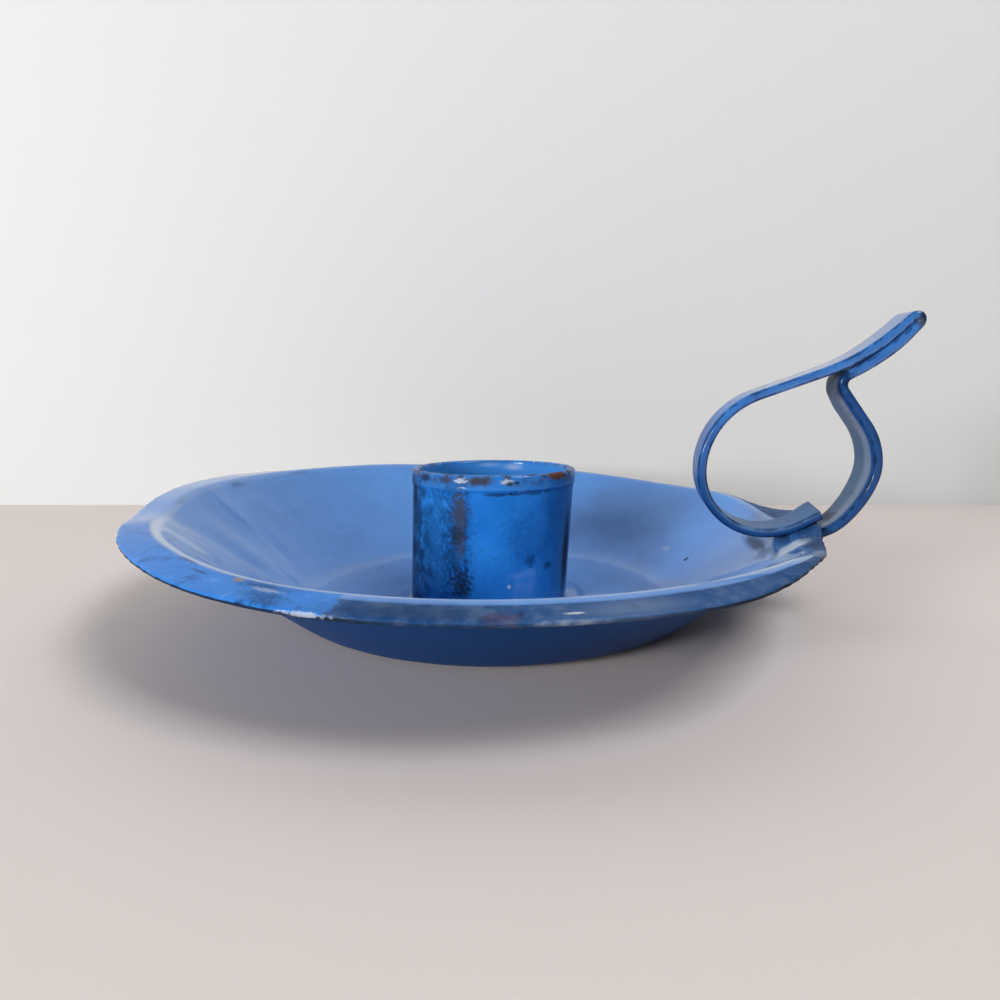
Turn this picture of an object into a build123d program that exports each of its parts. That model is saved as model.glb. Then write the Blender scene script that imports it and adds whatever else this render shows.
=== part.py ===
from build123d import *

import math
import os

# Enamelled sheet-steel chamberstick, in millimetres. The origin is the middle of the base on the table,
# +Z is up and the finger loop stands over +X.

# Sheet thicknesses with their enamel, and the room left around a rivet's shank
dish_sheet = 0.85
socket_sheet = 1.15
strap_sheet = 1.55
shank_clearance = 0.3
cut_overrun = 2.0

# Dish
base_flat_radius = 31.6
base_bend_radius = 5.0
crest_radius = 55.5
crest_height = 17.1
crest_bend_radius = 2.6
flange_droop = 12.0
flange_reach = 4.45

# Raised middle of the dish's floor, which keeps the rivet off the table
kick_height = 0.55
kick_flat_radius = 15.2
kick_slope = 24.0
kick_bend_radius = 1.6

# Seat pressed into the rim for the handle: a flat that climbs outwards, blended into the rim on both sides
seat_slope = 23.0
seat_inset = 4.6
seat_depth = 4.4
seat_bend_radius = 2.2
seat_half_angle = 6.5
seat_blend_end = 40.0
trim_start = 22.0
trim_end = 58.0
blend_sections = 10

# Candle socket, rolled from sheet with a lapped seam
socket_bore_radius = 12.65
socket_top = 24.05
lip_proud = 0.5
lip_height = 2.3
lip_round_share = 0.45
lap_width = 5.6
lap_rise = 0.3
lap_edge_angle = 261.6
lap_foot_gap = 3.2

# Rivet through the socket's foot, and the room between its head and a candle
centre_shank_radius = 2.0
centre_head_radius = 4.4
centre_head_height = 0.5
candle_room = 0.1
centre_tail_radius = 3.6
centre_tail_room = 0.1

# Strap of the handle: its foot on the seat, the loop's back, the bar, the folded thumb rest and the loop's front
strap_width = 7.6
upper_setback = 0.4
lower_setback = 0.7
upper_foot_length = 3.7
floor_bend_radius = 12.8
back_bend_radius = 10.4
back_bend_angle = 90.0
nose_bend_radius = 13.2
bar_slope = 20.5
bar_length = 10.4
thumb_bend_radius = 30.0
thumb_bend_angle = 28.0
fold_gap = 0.35
fold_return_angle = 21.6
throat_bend_radius = 1.75
front_slope = 54.0
front_foot_margin = 0.3

# Rivet through the strap's two ends and the rim between them
handle_shank_radius = 1.4
handle_head_radius = 2.4
handle_head_height = 0.55
rivet_inset = 2.3


def towards(angle):
    """Unit vector at an angle in degrees."""
    return Vector(math.cos(math.radians(angle)), math.sin(math.radians(angle)))


def walk(start, heading, moves):
    """Follows straights (length, 0) and bends (radius, turn) and gives the stations as (point, heading, move)."""
    stations = []
    point = start
    for size, turn in moves:
        stations.append((point, heading, (size, turn)))
        if turn:
            side = math.copysign(1, turn)
            centre = point + towards(heading + 90) * (side * size)
            heading = heading + turn
            point = centre - towards(heading + 90) * (side * size)
        else:
            point = point + towards(heading) * size
    stations.append((point, heading, None))
    return stations


def side_line(stations, offset):
    """Edges of one face of a bent sheet, at an offset to the left of its middle line."""
    edges = []
    for (point, heading, (size, turn)), (after, new_heading, _) in zip(stations[:-1], stations[1:]):
        first = point + towards(heading + 90) * offset
        last = after + towards(new_heading + 90) * offset
        if turn:
            side = math.copysign(1, turn)
            centre = point + towards(heading + 90) * (side * size)
            middle = centre - towards(heading + turn / 2 + 90) * (side * size - offset)
            edges.append(ThreePointArc(first, middle, last))
        else:
            edges.append(Line(first, last))
    return edges


def bent_sheet(start, heading, moves, sheet):
    """Face of a bent sheet seen on its edge."""
    stations = walk(start, heading, moves)
    left = side_line(stations, sheet / 2)
    right = side_line(stations, -sheet / 2)
    caps = [Line(left[0] @ 0, right[0] @ 0), Line(left[-1] @ 1, right[-1] @ 1)]
    return make_face(left + right + caps)


def ease(share):
    """Smooth step from 0 to 1."""
    share = min(max(share, 0), 1)
    return share * share * (3 - 2 * share)


def mix(first, last, share):
    """Value a share of the way from the first to the last."""
    return first + (last - first) * share


def meet(first, first_angle, last, last_angle):
    """Point where two lines meet, each given by a point and an angle."""
    along, across = towards(first_angle), towards(last_angle)
    gap = last - first
    turn = along.X * across.Y - along.Y * across.X
    return first + along * ((gap.X * across.Y - gap.Y * across.X) / turn)


# Dish wall: the straight that touches the base's bend and the crest's bend, on the sheet's middle line
base_centre = Vector(base_flat_radius, dish_sheet / 2 + base_bend_radius)
crest_centre = Vector(crest_radius, crest_height - dish_sheet / 2 - crest_bend_radius)
span = crest_centre - base_centre
wall_angle = math.degrees(
    math.atan2(span.Y, span.X) + math.asin((base_bend_radius + crest_bend_radius) / span.length)
)
wall_foot = base_centre - towards(wall_angle + 90) * base_bend_radius

# Corner between wall and flange, and the flange's length from it, both before the bend rounds them
crest_turn = wall_angle + flange_droop
crest_end = crest_centre + towards(90 - flange_droop) * crest_bend_radius
rim_corner = meet(wall_foot, wall_angle, crest_end, -flange_droop)
rim_wall = (rim_corner - wall_foot).length
rim_radius = crest_radius + flange_reach

# Floor between the raised middle and the wall's bend
kick_run = kick_bend_radius * math.tan(math.radians(kick_slope / 2))
kick_ramp = kick_height / math.sin(math.radians(kick_slope)) - 2 * kick_run
kick_foot = kick_flat_radius + kick_height / math.tan(math.radians(kick_slope)) + kick_run
join_radius = (kick_foot + base_flat_radius) / 2

# Seat plane, on the sheet's middle line in the plane y = 0
seat_inner = crest_radius - seat_inset
seat_outer = seat_inner + seat_depth
wall_at_seat = wall_foot + towards(wall_angle) * ((seat_inner - wall_foot.X) / math.cos(math.radians(wall_angle)))
seat_up = towards(seat_slope + 90)


def seat_point(reach, offset):
    """Point at a reach from the axis along the seat, lifted from the sheet's middle line by an offset."""
    run = (reach - wall_at_seat.X) / math.cos(math.radians(seat_slope))
    return wall_at_seat + towards(seat_slope) * run + seat_up * offset


def rim_section(azimuth):
    """Sheet from the floor to the rim's edge at an azimuth from the handle."""
    off = abs(azimuth)
    seat_share = 1 - ease((off - seat_half_angle) / (seat_blend_end - seat_half_angle))
    trim_share = 1 - ease((off - trim_start) / (trim_end - trim_start))
    flat = min(off, seat_half_angle)
    cut = math.cos(math.radians(flat))
    slope = math.degrees(math.atan(math.tan(math.radians(seat_slope)) * cut))
    corner = meet(wall_foot, wall_angle, Vector(wall_at_seat.X / cut, wall_at_seat.Y), slope)
    wall = mix(rim_wall, (corner - wall_foot).length, seat_share)
    turn = mix(crest_turn, wall_angle - slope, seat_share)
    bend = mix(crest_bend_radius, seat_bend_radius, seat_share)
    edge = mix(rim_radius, seat_outer / cut, trim_share)
    run = bend * math.tan(math.radians(turn / 2))
    corner_reach = wall_foot.X + wall * math.cos(math.radians(wall_angle))
    flange = (edge - corner_reach) / math.cos(math.radians(wall_angle - turn))
    moves = [
        (base_flat_radius - join_radius, 0),
        (base_bend_radius, wall_angle),
        (wall - run, 0),
        (bend, -turn),
        (flange - run, 0),
    ]
    face = bent_sheet(Vector(join_radius, dish_sheet / 2), 0, moves, dish_sheet)
    return Rot(0, 0, azimuth) * (Plane.XZ * face)


def upright(radius, bottom, top):
    """Cylinder on the axis between two heights."""
    return Pos(0, 0, bottom) * Cylinder(radius, top - bottom, align=(Align.CENTER, Align.CENTER, Align.MIN))


def on_seat(shape):
    """Places a shape that stands on the seat's upper face, at the rivet, with its axis square to the seat."""
    point = seat_point(seat_inner + rivet_inset, dish_sheet / 2)
    return Pos(point.X, 0, point.Y) * Rot(0, -seat_slope, 0) * shape


def dish():
    """Pressed pan: raised middle, flat base, sloping wall, turned rim and the handle's seat."""
    floor_moves = [
        (kick_flat_radius - kick_run, 0),
        (kick_bend_radius, -kick_slope),
        (kick_ramp, 0),
        (kick_bend_radius, kick_slope),
        (join_radius - kick_foot, 0),
    ]
    floor = bent_sheet(Vector(0, kick_height + dish_sheet / 2), 0, floor_moves, dish_sheet)
    floor = revolve(Plane.XZ * floor, Axis.Z)
    ring = revolve(rim_section(trim_end), Axis.Z, 360 - 2 * trim_end)
    steps = [mix(seat_half_angle, trim_end, i / (blend_sections - 1)) for i in range(blend_sections)]
    azimuths = [-step for step in reversed(steps)] + steps
    seat = loft([rim_section(azimuth) for azimuth in azimuths], ruled=True)
    pan = floor + ring + seat
    pan -= upright(centre_shank_radius + shank_clearance, -cut_overrun, kick_height + dish_sheet + cut_overrun)
    hole = handle_shank_radius + shank_clearance
    return pan - on_seat(upright(hole, -dish_sheet - cut_overrun, cut_overrun))


def socket():
    """Candle socket: turned-in foot, rolled wall with its lapped seam, and a thick rolled lip."""
    foot = kick_height + dish_sheet
    hole = centre_shank_radius + shank_clearance
    wall_radius = socket_bore_radius + socket_sheet
    middle = socket_bore_radius + socket_sheet / 2
    foot_bend = socket_sheet / 2 + centre_head_height + candle_room
    moves = [
        (middle - foot_bend - hole, 0),
        (foot_bend, 90),
        (socket_top - lip_height / 2 - foot - socket_sheet / 2 - foot_bend, 0),
    ]
    wall = revolve(Plane.XZ * bent_sheet(Vector(hole, foot + socket_sheet / 2), 0, moves, socket_sheet), Axis.Z)
    lip_width = socket_sheet + lip_proud
    lip_round = lip_round_share * min(lip_width, lip_height)
    lip = RectangleRounded(lip_width, lip_height, lip_round)
    lip = Pos(socket_bore_radius + lip_width / 2, socket_top - lip_height / 2) * lip
    lip = revolve(Plane.XZ * lip, Axis.Z)
    lap_low = foot + lap_foot_gap
    lap_high = socket_top - lip_height / 2
    lap = Pos(middle + lap_rise / 2, (lap_low + lap_high) / 2) * Rectangle(socket_sheet + lap_rise, lap_high - lap_low)
    lap_turn = math.degrees(lap_width / wall_radius)
    lap = revolve(Rot(0, 0, lap_edge_angle - lap_turn) * (Plane.XZ * lap), Axis.Z, lap_turn)
    body = wall + lip + lap
    return body - upright(socket_bore_radius, foot + socket_sheet + foot_bend, socket_top - lip_round)


def handle_strap():
    """Flat strap bent into the finger loop, folded on itself at the thumb rest, both ends on the rim."""
    lift = dish_sheet / 2 + strap_sheet / 2
    start = seat_point(seat_outer - upper_setback, lift)
    heading = 180 + seat_slope
    ply = strap_sheet + fold_gap
    moves = [
        (upper_foot_length, 0),
        (floor_bend_radius, -seat_slope),
        (back_bend_radius, -back_bend_angle),
        (nose_bend_radius, back_bend_angle + bar_slope - 180),
        (bar_length, 0),
        (thumb_bend_radius, thumb_bend_angle),
        (ply / 2, -180),
        (thumb_bend_radius + ply, -fold_return_angle),
    ]
    back_slope = bar_slope + thumb_bend_angle - fold_return_angle
    moves.append((throat_bend_radius, 180 - back_slope - front_slope))
    throat_end = walk(start, heading, moves)[-1][0]
    under_end = seat_point(seat_inner + lower_setback, -lift)
    corner = meet(throat_end, -front_slope, under_end, seat_slope)
    front_turn = 180 - front_slope - seat_slope
    front_foot = seat_point(seat_outer + front_foot_margin, -lift)
    run = (corner - front_foot).length
    moves += [
        ((corner - throat_end).length - run, 0),
        (run / math.tan(math.radians(front_turn / 2)), -front_turn),
        ((front_foot - under_end).length, 0),
    ]
    side = Plane.XZ * bent_sheet(start, heading, moves, strap_sheet)
    strap = extrude(side, strap_width / 2, both=True)
    hole = handle_shank_radius + shank_clearance
    return strap - on_seat(upright(hole, -dish_sheet - strap_sheet - cut_overrun, strap_sheet + cut_overrun))


def rivet(shank_radius, grip, head, tail):
    """Set rivet along Z: the head sits on z = 0 and the tail under the grip, each a (radius, height) dome."""
    body = upright(shank_radius, -grip, 0)
    for (radius, height), seat, way in ((head, 0, 1), (tail, -grip, -1)):
        ball = (radius * radius + height * height) / (2 * height)
        half = math.degrees(math.asin(radius / ball)) / 2
        top = Vector(0, seat + way * height)
        edge = Vector(radius, seat)
        middle = Vector(0, seat + way * (height - ball)) + towards(90 - half) * ball
        if way < 0:
            middle = Vector(0, seat + way * (height - ball)) + towards(half - 90) * ball
        sides = [ThreePointArc(edge, middle, top), Line(top, Vector(0, seat)), Line(Vector(0, seat), edge)]
        body += revolve(Plane.XZ * make_face(sides), Axis.Z)
    return body


def centre_rivet():
    """Rivet that holds the socket's foot on the dish's raised middle."""
    grip = socket_sheet + dish_sheet
    head = (centre_head_radius, centre_head_height)
    tail = (centre_tail_radius, kick_height - centre_tail_room)
    return Pos(0, 0, kick_height + grip) * rivet(centre_shank_radius, grip, head, tail)


def handle_rivet():
    """Rivet that clamps the rim between the strap's two ends."""
    grip = 2 * strap_sheet + dish_sheet
    head = (handle_head_radius, handle_head_height)
    return on_seat(Pos(0, 0, strap_sheet) * rivet(handle_shank_radius, grip, head, head))


os.makedirs("parts", exist_ok=True)
for make in (dish, socket, centre_rivet, handle_strap, handle_rivet):
    export_step(make(), "parts/" + make.__name__ + ".step")
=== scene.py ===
import logging
import math
from collections.abc import Sequence
from dataclasses import dataclass
from enum import Enum

import bmesh
import bpy
from mathutils import Matrix, Vector, noise


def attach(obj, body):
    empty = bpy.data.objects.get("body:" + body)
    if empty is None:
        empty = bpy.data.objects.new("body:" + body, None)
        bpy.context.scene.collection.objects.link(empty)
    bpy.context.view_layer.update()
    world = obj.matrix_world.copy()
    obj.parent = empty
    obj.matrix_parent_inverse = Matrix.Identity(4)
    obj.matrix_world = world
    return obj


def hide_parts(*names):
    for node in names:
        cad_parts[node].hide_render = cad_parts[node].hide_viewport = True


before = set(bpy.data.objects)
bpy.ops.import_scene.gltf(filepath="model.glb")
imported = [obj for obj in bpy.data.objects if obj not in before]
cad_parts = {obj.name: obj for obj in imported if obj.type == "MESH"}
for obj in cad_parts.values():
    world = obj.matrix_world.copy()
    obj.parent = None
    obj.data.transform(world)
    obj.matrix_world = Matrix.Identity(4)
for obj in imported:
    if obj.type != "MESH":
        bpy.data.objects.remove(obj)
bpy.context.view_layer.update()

# Enamelled sheet-steel chamberstick. Sizes are in millimetres and angles in degrees, and each mesh is brought to
# metres when it is done. The origin is the middle of the base on the table, +Z is up and the loop stands over +X.

log = logging.getLogger("chamberstick")

# Metres in a millimetre, and the millimetres within which vertices are joined
MM = 0.001
MERGE = 0.0005
# First input, second input and output of a Mix node for each kind of data
MIX_SOCKETS = {"RGBA": (6, 7, 2), "FLOAT": (2, 3, 0)}

Move = tuple[float, float]
Span = tuple[float, float]
Point = tuple[float, float, float]
Colour = tuple[float, float, float, float]
Value = bpy.types.NodeSocket | float | tuple[float, ...]


class Slot(Enum):
    """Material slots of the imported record."""

    DISH = "blue_enamel"
    SOCKET = "blue_enamel_socket"
    STRAP = "blue_enamel_strap"


class Mark(Enum):
    """Per-vertex measures that the finishes read."""

    RUN = "run"
    SIDE = "side"
    BEYOND = "beyond"
    EDGE = "edge"


def towards(angle: float) -> Vector:
    """Unit vector in the plane of a profile at an angle from the outward direction."""
    return Vector((math.cos(math.radians(angle)), math.sin(math.radians(angle))))


def ease(share: float) -> float:
    """Smooth step from 0 to 1."""
    share = min(max(share, 0.0), 1.0)
    return share * share * (3.0 - 2.0 * share)


def mix(first: float, last: float, share: float) -> float:
    """Value a share of the way from the first to the last."""
    return first + (last - first) * share


def azimuth_of(vert: bmesh.types.BMVert) -> float:
    """Angle of a vertex round the Z axis, from the handle."""
    return math.degrees(math.atan2(vert.co.y, vert.co.x))


def apart(first: float, last: float) -> float:
    """Angle between two azimuths, from 0 to 180."""
    return abs((first - last + 180.0) % 360.0 - 180.0)


def layers(bm: bmesh.types.BMesh, *marks: Mark) -> list[bmesh.types.BMLayerItem]:
    """Layers that hold the measures, in the order asked for."""
    return [bm.verts.layers.float[mark.value] for mark in marks]


def meet(first: Vector, first_angle: float, last: Vector, last_angle: float) -> Vector:
    """Finds where two lines of a profile meet.

    Args:
        first: A point on the first line.
        first_angle: The first line's angle.
        last: A point on the last line.
        last_angle: The last line's angle.

    Returns:
        The meeting point.
    """
    along, across = towards(first_angle), towards(last_angle)
    gap = last - first
    turn = along.x * across.y - along.y * across.x
    return first + along * ((gap.x * across.y - gap.y * across.x) / turn)


def round_the_ring(points: Sequence[tuple[float, float]], azimuth: float) -> float:
    """Reads a smooth closed curve through values given at azimuths.

    Args:
        points: Azimuths in rising order, each with its value.
        azimuth: Where to read the curve.

    Returns:
        The value there.
    """
    count = len(points)
    azimuth %= 360.0
    after = next((i for i, (at, _) in enumerate(points) if at > azimuth), count)
    at = [points[(after + k) % count][0] + 360.0 * ((after + k) // count) for k in (-2, -1, 0, 1)]
    value = [points[(after + k) % count][1] for k in (-2, -1, 0, 1)]
    share = (azimuth - at[1]) / (at[2] - at[1])
    rise_in = (value[2] - value[0]) / (at[2] - at[0]) * (at[2] - at[1])
    rise_out = (value[3] - value[1]) / (at[3] - at[1]) * (at[2] - at[1])
    square, cube = share * share, share * share * share
    return (
        (2 * cube - 3 * square + 1) * value[1]
        + (cube - 2 * square + share) * rise_in
        + (3 * square - 2 * cube) * value[2]
        + (cube - square) * rise_out
    )


@dataclass
class BentLine:
    """Middle line of a bent sheet: straights (length, 0) and bends (radius, turn) from a start and a heading."""

    start: Vector
    heading: float
    moves: list[Move]

    def end(self) -> tuple[Vector, float]:
        """Last point and heading of the line."""
        return self.point(len(self.moves))

    def point(self, station: float) -> tuple[Vector, float]:
        """Follows the line to a station.

        Args:
            station: The number of whole moves plus the share of the next one.

        Returns:
            The point and the heading there.
        """
        point, heading = self.start.copy(), self.heading
        for i, (size, turn) in enumerate(self.moves):
            share = min(max(station - i, 0.0), 1.0)
            if turn:
                side = math.copysign(size, turn)
                point += towards(heading + 90) * side
                heading += turn * share
                point -= towards(heading + 90) * side
            else:
                point += towards(heading) * (size * share)
        return point, heading

    def at(self, station: float, side: float, beyond: float) -> Vector:
        """Point beside the line.

        Args:
            station: Where along the line, in moves.
            side: Distance to the left of the line.
            beyond: Distance past that station along the heading.

        Returns:
            The point in the plane of the profile.
        """
        point, heading = self.point(station)
        return point + towards(heading + 90) * side + towards(heading) * beyond


class SheetPen:
    """Draws the outline of a sheet in the XZ plane, one straight or bend at a time, and marks its vertices."""

    def __init__(self, bm: bmesh.types.BMesh, start: Vector, heading: float) -> None:
        """Puts the pen down.

        Args:
            bm: The mesh to draw in.
            start: The first point.
            heading: The first heading.
        """
        self.bm = bm
        self.marks = {mark: bm.verts.layers.float.new(mark.value) for mark in Mark}
        self.first = self.vert = bm.verts.new((start.x, 0.0, start.y))
        self.heading = heading

    def straight(self, length: float, steps: int) -> list[bmesh.types.BMVert]:
        """Extrudes the end of the line along its heading.

        Args:
            length: How far.
            steps: The number of edges.

        Returns:
            The new vertices in order.
        """
        way = towards(self.heading) * (length / steps)
        made = []
        for _ in range(steps):
            self.vert = bmesh.ops.extrude_vert_indiv(self.bm, verts=[self.vert])["verts"][0]
            bmesh.ops.translate(self.bm, vec=(way.x, 0.0, way.y), verts=[self.vert])
            made.append(self.vert)
        return made

    def bend(self, radius: float, turn: float, steps: int) -> list[bmesh.types.BMVert]:
        """Spins the end of the line about a centre beside it.

        Args:
            radius: The bend's radius.
            turn: Its angle, positive to the left.
            steps: The number of edges.

        Returns:
            The new vertices in order.
        """
        side = towards(self.heading + 90) * math.copysign(radius, turn)
        centre = self.vert.co + Vector((side.x, 0.0, side.y))
        known = len(self.bm.verts)
        bmesh.ops.spin(
            self.bm, geom=[self.vert], cent=centre, axis=(0, -1, 0), angle=math.radians(turn), steps=steps
        )
        self.bm.verts.ensure_lookup_table()
        made = self.bm.verts[known:]
        self.vert = made[-1]
        self.heading += turn
        return made

    def mark(self, verts: Sequence[bmesh.types.BMVert], mark: Mark, values: Sequence[float]) -> None:
        """Writes a measure on vertices, one value each."""
        for vert, value in zip(verts, values):
            vert[self.marks[mark]] = value

    def close(self) -> None:
        """Joins the last vertex to the first."""
        self.bm.edges.new((self.vert, self.first))


def spin_ring(bm: bmesh.types.BMesh, steps: int, sectors: int) -> None:
    """Turns an outline into a full ring about Z: one sector is spun, then repeated and joined.

    Args:
        bm: The mesh that holds the outline.
        steps: The number of steps in the whole ring.
        sectors: How many equal sectors it has.
    """
    outline = bm.verts[:] + bm.edges[:]
    centre, axis = (0.0, 0.0, 0.0), (0.0, 0.0, 1.0)
    sector = math.tau / sectors
    bmesh.ops.spin(bm, geom=outline, cent=centre, axis=axis, angle=sector, steps=steps // sectors)
    whole = bm.verts[:] + bm.edges[:] + bm.faces[:]
    turn = sector * (sectors - 1)
    bmesh.ops.spin(bm, geom=whole, cent=centre, axis=axis, angle=turn, steps=sectors - 1, use_duplicate=True)
    bmesh.ops.remove_doubles(bm, verts=bm.verts, dist=MERGE)


class MeshPiece:
    """Turns a finished bmesh into a piece of the object."""

    def __init__(self, name: str, node: str, slot: Slot) -> None:
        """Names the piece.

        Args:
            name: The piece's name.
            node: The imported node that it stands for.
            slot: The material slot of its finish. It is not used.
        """
        self.name = name
        self.node = node
        self.slot = slot

    def settle(self, bm: bmesh.types.BMesh, material: bpy.types.Material) -> None:
        """Brings the mesh to metres, smooths its shading and puts it in the frame.

        Args:
            bm: The finished mesh, in millimetres. It is freed.
            material: Its finish.
        """
        bmesh.ops.scale(bm, vec=(MM, MM, MM), verts=bm.verts)
        for face in bm.faces:
            face.smooth = True
        mesh = bpy.data.meshes.new(self.name)
        bm.to_mesh(mesh)
        bm.free()
        mesh.materials.append(material)
        piece = bpy.data.objects.new(self.name, mesh)
        bpy.context.scene.collection.objects.link(piece)
        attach(piece, "root")
        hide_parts(self.node)
        log.info("%s stands for %s with %d faces", self.name, self.node, len(mesh.polygons))


@dataclass
class Dish:
    """Pressed pan: raised middle, flat base, sloping wall, turned rim and the seat under the handle."""

    sheet: float = 0.85
    rivet_hole: float = 2.3
    base_flat_radius: float = 30.0
    base_bend_radius: float = 10.0
    crest_radius: float = 55.5
    crest_height: float = 17.1
    crest_bend_radius: float = 2.6
    flange_droop: float = 12.0
    flange_reach: float = 4.45
    kick_height: float = 0.55
    kick_flat_radius: float = 15.2
    kick_slope: float = 24.0
    kick_bend_radius: float = 1.6
    seat_slope: float = 23.0
    seat_inset: float = 4.6
    seat_depth: float = 4.4
    seat_bend_radius: float = 2.2
    seat_half_angle: float = 6.5
    seat_blend_end: float = 40.0
    trim_start: float = 22.0
    trim_end: float = 58.0
    ear_pull: float = 1.25
    ear_middle: float = -13.0
    ear_spread: float = 15.0
    move_steps: tuple[int, ...] = (6, 4, 3, 4, 8, 10, 14, 8, 7)
    edge_steps: int = 6
    ring_steps: int = 480
    ring_sectors: int = 20
    wave_middle: float = 195.0
    wave_spread: float = 60.0
    wave_turn: float = 7.0
    wave_length: float = 14.0
    wave_height: float = 0.7
    ripple: float = 0.03
    ripple_length: float = 6.0
    flange_lift: float = 0.213
    lift_middle: float = 182.0
    lift_hold: float = 12.0
    lift_fade: float = 35.0
    lift_inset: float = 1.0
    edge_rough: float = 0.22
    edge_grain: float = 0.9
    rim_lift: tuple[tuple[float, float], ...] = (
        (7.6, 0.0), (17.6, -1.1), (27.6, -1.95), (37.6, -2.1), (52.6, -2.15), (67.6, -1.4), (82.6, -0.5),
        (97.6, 0.1), (112.6, 0.6), (127.6, 1.4), (142.6, 1.75), (157.6, 1.95), (177.6, 2.0), (187.6, 1.3),
        (197.6, 0.1), (207.6, 0.65), (217.6, 1.05), (227.6, 1.0), (237.6, 0.56), (249.0, 0.14), (262.0, 0.0),
        (277.6, 0.0), (300.0, 0.15), (320.0, 0.3), (340.0, 0.0),
    )

    def __post_init__(self) -> None:
        """Works out the wall, the rim and the seat from the sizes."""
        base_centre = Vector((self.base_flat_radius, self.sheet / 2 + self.base_bend_radius))
        crest_centre = Vector((self.crest_radius, self.crest_height - self.sheet / 2 - self.crest_bend_radius))
        span = crest_centre - base_centre
        lean = math.asin((self.base_bend_radius + self.crest_bend_radius) / span.length)
        self.wall_angle = math.degrees(math.atan2(span.y, span.x) + lean)
        self.wall_foot = base_centre - towards(self.wall_angle + 90) * self.base_bend_radius
        self.crest_turn = self.wall_angle + self.flange_droop
        crest_end = crest_centre + towards(90 - self.flange_droop) * self.crest_bend_radius
        rim_corner = meet(self.wall_foot, self.wall_angle, crest_end, -self.flange_droop)
        self.rim_wall = (rim_corner - self.wall_foot).length
        self.rim_radius = self.crest_radius + self.flange_reach
        self.kick_run = self.kick_bend_radius * math.tan(math.radians(self.kick_slope / 2))
        slope = math.radians(self.kick_slope)
        self.kick_ramp = self.kick_height / math.sin(slope) - 2 * self.kick_run
        self.kick_foot = self.kick_flat_radius + self.kick_height / math.tan(slope) + self.kick_run
        self.seat_inner = self.crest_radius - self.seat_inset
        self.seat_outer = self.seat_inner + self.seat_depth
        run = (self.seat_inner - self.wall_foot.x) / math.cos(math.radians(self.wall_angle))
        self.wall_at_seat = self.wall_foot + towards(self.wall_angle) * run

    def seat_point(self, reach: float, offset: float) -> Vector:
        """Point over the seat's middle line.

        Args:
            reach: Distance from the dish's axis along the seat.
            offset: Distance above the sheet's middle.

        Returns:
            The point in the plane of the handle.
        """
        run = (reach - self.wall_at_seat.x) / math.cos(math.radians(self.seat_slope))
        up = towards(self.seat_slope + 90)
        return self.wall_at_seat + towards(self.seat_slope) * run + up * offset

    def section(self, azimuth: float) -> BentLine:
        """Middle line of the sheet from the rivet's hole to the rim's edge.

        Args:
            azimuth: Angle from the handle.

        Returns:
            The line, short of the rim's edge by half the sheet.
        """
        off = abs(azimuth)
        seat_share = 1 - ease((off - self.seat_half_angle) / (self.seat_blend_end - self.seat_half_angle))
        trim_share = 1 - ease((off - self.trim_start) / (self.trim_end - self.trim_start))
        cut = math.cos(math.radians(min(off, self.seat_half_angle)))
        slope = math.degrees(math.atan(math.tan(math.radians(self.seat_slope)) * cut))
        foot = Vector((self.wall_at_seat.x / cut, self.wall_at_seat.y))
        corner = meet(self.wall_foot, self.wall_angle, foot, slope)
        wall = mix(self.rim_wall, (corner - self.wall_foot).length, seat_share)
        turn = mix(self.crest_turn, self.wall_angle - slope, seat_share)
        bend = mix(self.crest_bend_radius, self.seat_bend_radius, seat_share)
        pull = self.ear_pull * (1 - ease(abs(azimuth - self.ear_middle) / self.ear_spread))
        edge = mix(self.rim_radius, self.seat_outer / cut, trim_share) - pull
        run = bend * math.tan(math.radians(turn / 2))
        corner_reach = self.wall_foot.x + wall * math.cos(math.radians(self.wall_angle))
        flange = (edge - corner_reach) / math.cos(math.radians(self.wall_angle - turn))
        moves = [
            (self.kick_flat_radius - self.kick_run - self.rivet_hole, 0),
            (self.kick_bend_radius, -self.kick_slope),
            (self.kick_ramp, 0),
            (self.kick_bend_radius, self.kick_slope),
            (self.base_flat_radius - self.kick_foot, 0),
            (self.base_bend_radius, self.wall_angle),
            (wall - run, 0),
            (bend, -turn),
            (flange - run - self.sheet / 2, 0),
        ]
        return BentLine(Vector((self.rivet_hole, self.kick_height + self.sheet / 2)), 0.0, moves)

    def outline(self, bm: bmesh.types.BMesh) -> None:
        """Draws the sheet's outline far from the handle: out on top, round the rim's edge and back underneath."""
        half = self.sheet / 2
        line = self.section(180.0)
        pen = SheetPen(bm, line.start + Vector((0.0, half)), 0.0)
        pen.mark([pen.first], Mark.SIDE, [half])
        order = list(enumerate(zip(line.moves, self.move_steps)))
        for way in (1, -1):
            for i, ((size, turn), steps) in order[::way]:
                if turn:
                    made = pen.bend(size - math.copysign(half, turn) * way, turn * way, steps)
                else:
                    made = pen.straight(size, steps)
                shares = [(k + 1) / steps for k in range(steps)]
                pen.mark(made, Mark.RUN, [i + s if way > 0 else i + 1 - s for s in shares])
                pen.mark(made, Mark.SIDE, [half * way] * steps)
                pen.mark(made, Mark.BEYOND, [0.0] * steps)
            if way > 0:
                made = pen.bend(half, -180.0, self.edge_steps)
                turns = [90 - 180 * (k + 1) / self.edge_steps for k in range(self.edge_steps)]
                pen.mark(made, Mark.RUN, [float(len(line.moves))] * self.edge_steps)
                pen.mark(made, Mark.SIDE, [half * towards(t).y for t in turns])
                pen.mark(made, Mark.BEYOND, [half * towards(t).x for t in turns])
        pen.close()

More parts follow.
